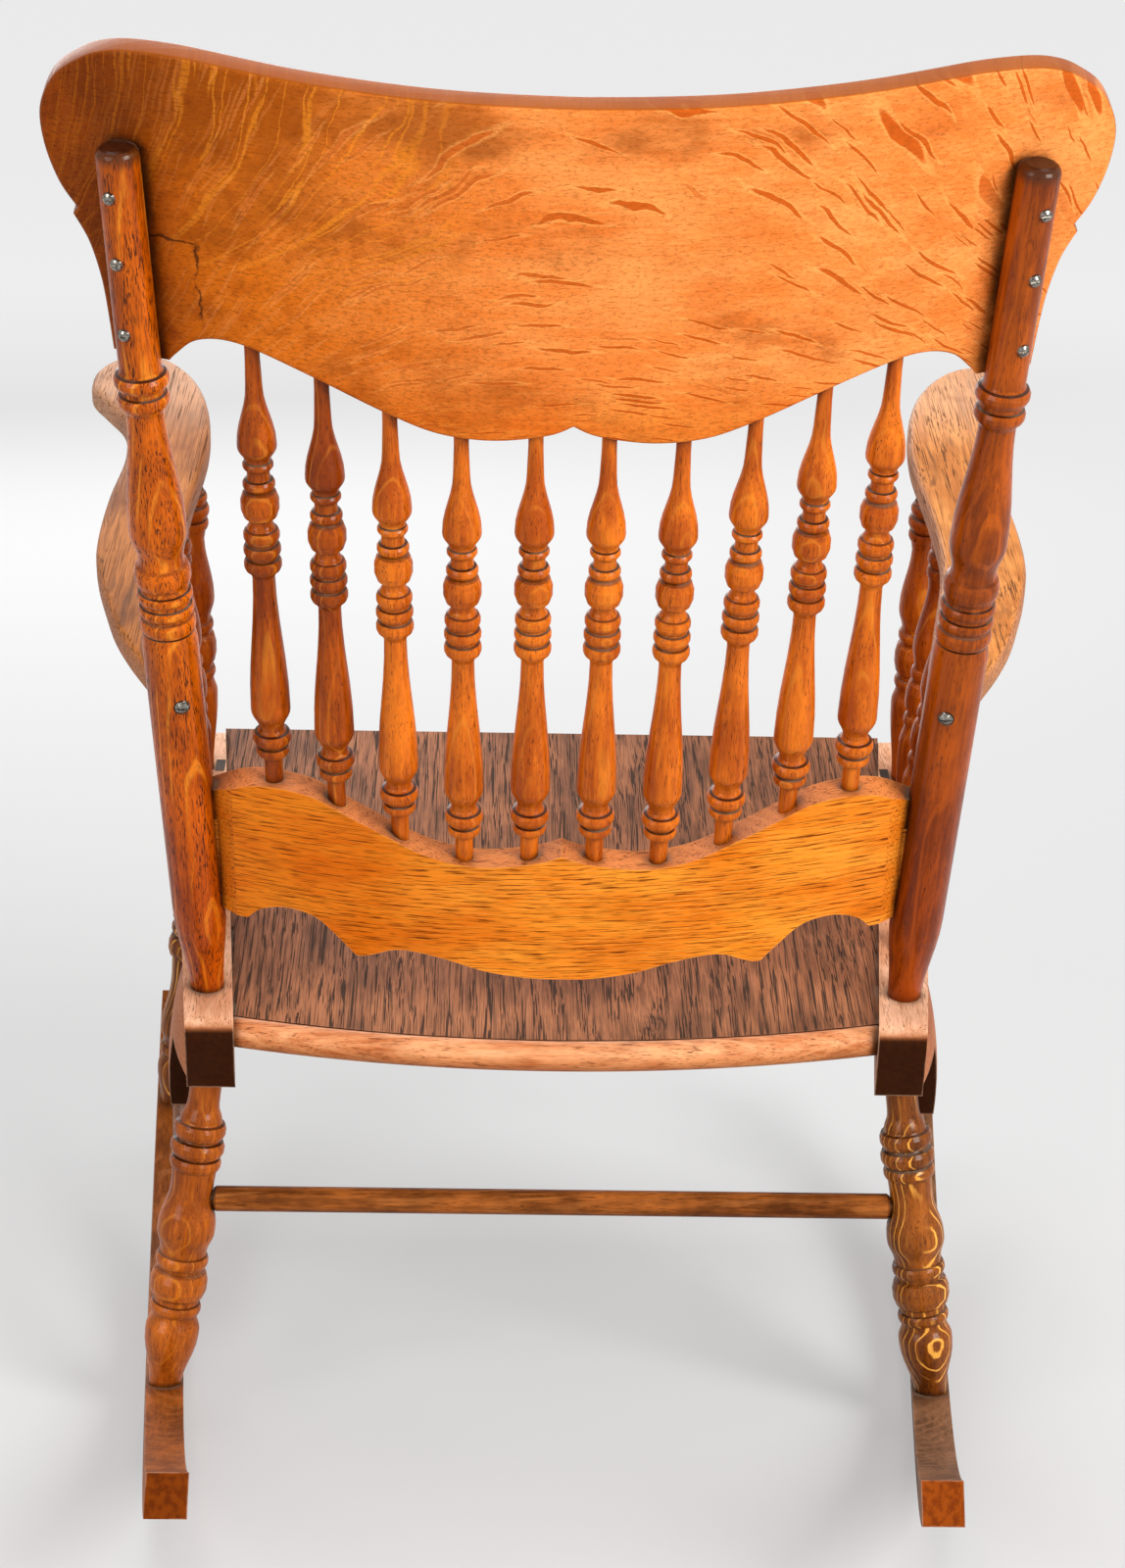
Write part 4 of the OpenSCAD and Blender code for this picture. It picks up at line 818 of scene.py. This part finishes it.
def crest_colour(g, base):
    """Ray flecks in arches over the back, pale lines on its darker left side, speckle and a crack.
    The left side's deeper colour is partly painted shade, and the left ear and the up-facing top
    edge are darkened with painted shade."""
    colours = CREST_COLOURS
    place, u, up = back_place(g)
    w = g.most(g.add(up, -ARCH_FOOT), 20)
    u_squared = g.mul(u, u)
    side = g.step(u, -40, 250)

    wobble = g.add(g.mul(g.noise(place, scale=8), 0.24), g.mul(g.noise(place, scale=36), 0.055))
    left = g.math("POWER", g.most(u, 0), 4)
    level = g.add(g.mul(u_squared, 1.05e-5), g.mul(left, 1e-10))
    level = g.add(g.add(g.math("LOGARITHM", w, math.e), level), wobble)
    lean = g.math("MINIMUM", g.most(g.mul(u, 0.0025), -0.6), 0.8)
    along = g.math("SUBTRACT", g.mul(w, lean), g.mul(u, 1.4))

    # The left side's own deeper colour, which is partly painted shade away from the key light.
    base = g.lay(base, side, 0.92, colours["side"])
    blotch = g.step(g.noise(place, scale=64, detail=4, rough=0.6), 0.46, 0.66)
    base = g.darken(base, g.mul(g.mul(side, blotch), 0.6), (0.66, 0.54, 0.4))
    shade = g.noise(g.scaled(place, 9, 9, 16), detail=4, rough=0.6)
    grey = g.add(g.mul(side, 0.17), g.mul(g.band(up, 676, 740, 14), 0.12))
    base = g.lay(base, g.step(g.add(shade, grey), 0.56, 0.76), 0.62, colours["shade"])
    pale = g.noise(g.join(g.mul(level, 24), g.mul(along, 0.016), 0))
    base = g.lay(base, g.step(pale, 0.57, 0.66), 0.16, colours["pale arch"])

    bend = g.mul(g.math("POWER", g.math("DIVIDE", 250, g.most(w, 150)), 4), -0.25)
    bend = g.add(g.add(bend, g.mul(u_squared, 2.25e-5)), g.mul(wobble, 1.6))
    thread = g.noise(g.join(g.mul(bend, 9), g.mul(up, 0.004), 0))
    thread = g.flip(g.step(g.size(g.add(thread, -0.5)), 0.006, 0.034))
    thread = g.mul(g.mul(thread, g.step(u, 40, 130)), g.step(up, *THREADS_FROM))
    base = g.lay(base, thread, 0.6, colours["thread"])

    core, border = flecks(g, g.mul(level, 38), g.mul(along, 1 / 52), 0.34, 0.18, 0.4)
    wide, wide_border = flecks(g, g.mul(level, 9), g.mul(along, 1 / 80), 0.4, 0.18, 0.32)
    corner = g.mul(g.step(up, 590, 660), g.step(u, -40, -160))
    wide, wide_border = g.mul(wide, corner), g.mul(wide_border, corner)
    right = g.flip(g.mul(side, 0.6))
    base = g.mix(g.mul(g.mul(g.most(border, wide_border), 0.55), right), base, colours["border"])
    base = g.mix(g.mul(g.mul(g.most(core, wide), 0.9), right), base, colours["fleck"])

    specks = g.noise(g.join(g.mul(u, 0.2), g.mul(up, 0.55), 0), detail=3, rough=0.85)
    specks = g.step(specks, 0.48, 0.64)
    base = g.lay(base, specks, g.add(0.42, g.mul(side, 0.2)), colours["speck"])
    base = g.lay(base, crack_lines(g, place, u, up), 0.8, colours["crack"])
    # Painted shade: the left ear is darkened, as it faces away from the key light.
    base = g.darken(base, g.mul(g.step(u, 190, 315), 0.9), (0.38, 0.27, 0.06))
    base = g.darken(base, g.mul(g.flip(g.step(up, 486, 540)), 0.9), (0.86, 0.7, 0.34))
    # Painted shade: the up-facing top edge is darkened against the top lamp.
    shaded_top_edge = g.step(g.dot(g.coordinate("Normal"), BACK_UP), 0.4, 0.9)
    return g.lay(base, shaded_top_edge, 0.9, colours["shaded top edge"])


# The pieces.

CREST_SEED, ARM_SEED, NODE_SEED = 3, 11, 20
CREST_PITH, ARM_PITH = 200, 90
CREST_GRAIN = (1, 0, 0)
CREST_EASE, CREST_GAP = 2.2, 2.2
ARM_EASE, ARM_GAP = 6, 6.0

crest_line = crest_outline()
crest = board("crest_board", crest_line, CREST_THICK, crest_place, CREST_EASE, CREST_GAP,
              lambda points: crest_relief(points, crest_line))
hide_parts("crest_rail")
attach(crest, "root")
dress(crest, oak("crest_oak", crest, "crest", CREST_SEED, along=CREST_GRAIN, pith=CREST_PITH,
                 extra=crest_colour))

for side, sign in (("left", 1), ("right", -1)):
    arm = board(f"arm_board_{side}", arm_outline(), ARM_THICK,
                lambda x, y, depth: arm_point(sign * x, y, -depth), ARM_EASE, ARM_GAP)
    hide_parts(f"arm_{side}")
    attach(arm, "root")
    dress(arm, oak(f"arm_{side}_oak", arm, f"{side}_arm", ARM_SEED + sign, along=ARM_GRAIN,
                   pith=ARM_PITH, extra=arm_colour))

# The look of each node, by the first of these that its name starts with.
KINDS = (
    ("rocker_left", "rocker"), ("rocker", "grey_rocker"), ("rear_leg_left", "left_leg"),
    ("rear_leg", "leg"), ("front_leg", "leg"), ("rear_stretcher", "stretcher"),
    ("front_stretcher", "stretcher"), ("side_stretcher", "stretcher"), ("side_rail", "rail"),
    ("rear_seat_rail", "rear_rail"), ("front_seat_rail", "rail"), ("seat_panel", "seat"),
    ("back_post_left", "left_post"), ("back_post", "post"), ("lower_back_rail", "lower"),
    ("back_spindle_10", "dark_spindle"), ("back_spindle_9", "dark_spindle"),
    ("back_spindle", "spindle"), ("front_arm_post", "turned"), ("arm_spindle", "turned"),
    ("rail_plugs", "plug"))
EXTRAS = {"rail": rail_colour, "rear_rail": bar_colour, "lower": lower_colour,
          "post": post_colour, "left_post": post_colour}
NODE_PITHS = {"lower_back_rail": 400, "seat_panel": 120}
for number, (name, ob) in enumerate(sorted(NODES.items())):
    if name.endswith("screws"):
        dress(ob, steel(f"{name}_steel"))
    for start, look in KINDS:
        if name.startswith(start):
            along = SEAT_GRAIN if name.startswith(("seat_panel", "side_rail")) else None
            dress(ob, oak(f"{name}_oak", ob, look, NODE_SEED + number, along=along,
                          pith=NODE_PITHS.get(name), extra=EXTRAS.get(look)))
            break


# Floor, light and camera.

def seen(g):
    """1 where the camera or a reflection looks straight at a surface, else 0."""
    path = g.node("ShaderNodeLightPath").outputs
    reflected = g.most(path["Is Glossy Ray"], path["Is Transmission Ray"])
    return g.most(path["Is Camera Ray"], reflected)


FLOOR_SIZE = 80
FLOOR_MIDDLE = (0, -10, 0)
FLOOR_GREY = (0.42, 0.42, 0.42, 1)
WHITE = (1, 1, 1, 1)

bpy.ops.mesh.primitive_plane_add(size=FLOOR_SIZE, location=FLOOR_MIDDLE)
floor = bpy.context.object
floor.name = "floor"
material, g = new_material("pale_floor")
position = g.node("ShaderNodeNewGeometry").outputs["Position"]
far = g.step(g.vector("LENGTH", position)[1], 0.8, 6)
diffuse = g.node("ShaderNodeBsdfDiffuse", {"Color": FLOOR_GREY})
strength = g.mul(seen(g), g.add(0.3, g.mul(far, 0.36)))
glow = g.node("ShaderNodeEmission", {"Color": WHITE, "Strength": strength})
both = g.node("ShaderNodeAddShader", {0: diffuse.outputs[0], 1: glow.outputs[0]})
g.node("ShaderNodeOutputMaterial", {"Surface": both.outputs[0]})
dress(floor, material)

world = bpy.data.worlds.new("studio")
bpy.context.scene.world = world
world.use_nodes = True
g = Graph(world.node_tree)
background = world.node_tree.nodes["Background"].inputs
g.put(background["Color"], WHITE)
g.put(background["Strength"], g.add(0.38, g.mul(seen(g), 0.44)))

SOFTBOXES = (  # name, place, aim, size, power
    ("key", (-2.6, 2.6, 2.2), (0, 0.1, 0.6), (1.8, 1.8), 165),
    ("fill", (2.6, 2.8, 1.6), (0, 0, 0.5), (2.0, 2.0), 54),
    ("top", (0, -0.2, 3.4), (0, 0, 0.5), (2.6, 2.0), 40),
    ("front", (0.8, -3.2, 2.0), (0, 0, 0.6), (2.2, 1.8), 50),
)
for name, place, aim, size, power in SOFTBOXES:
    light = bpy.data.lights.new(name, "AREA")
    light.shape = "RECTANGLE"
    light.size, light.size_y = size
    light.energy = power
    ob = bpy.data.objects.new(name, light)
    ob.location = place
    ob.rotation_euler = (Vector(aim) - Vector(place)).to_track_quat("-Z", "Y").to_euler()
    bpy.context.scene.collection.objects.link(ob)

# The camera, fitted to the photograph's edges.
CAMERA_PLACE = (0.04163, 2.27655, 1.18999)
CAMERA_TURN = (72.7493, -1.1121, 179.2216)
CAMERA_LENS = 73.81
CAMERA_SENSOR = 36
CAMERA_SEES = 200  # metres

camera = bpy.data.objects.new("camera", bpy.data.cameras.new("camera"))
camera.data.lens = CAMERA_LENS
camera.data.sensor_width = CAMERA_SENSOR
camera.data.clip_end = CAMERA_SEES
camera.location = CAMERA_PLACE
camera.rotation_euler = [math.radians(a) for a in CAMERA_TURN]
bpy.context.scene.collection.objects.link(camera)
bpy.context.scene.camera = camera
bpy.context.scene.view_settings.view_transform = "Standard"
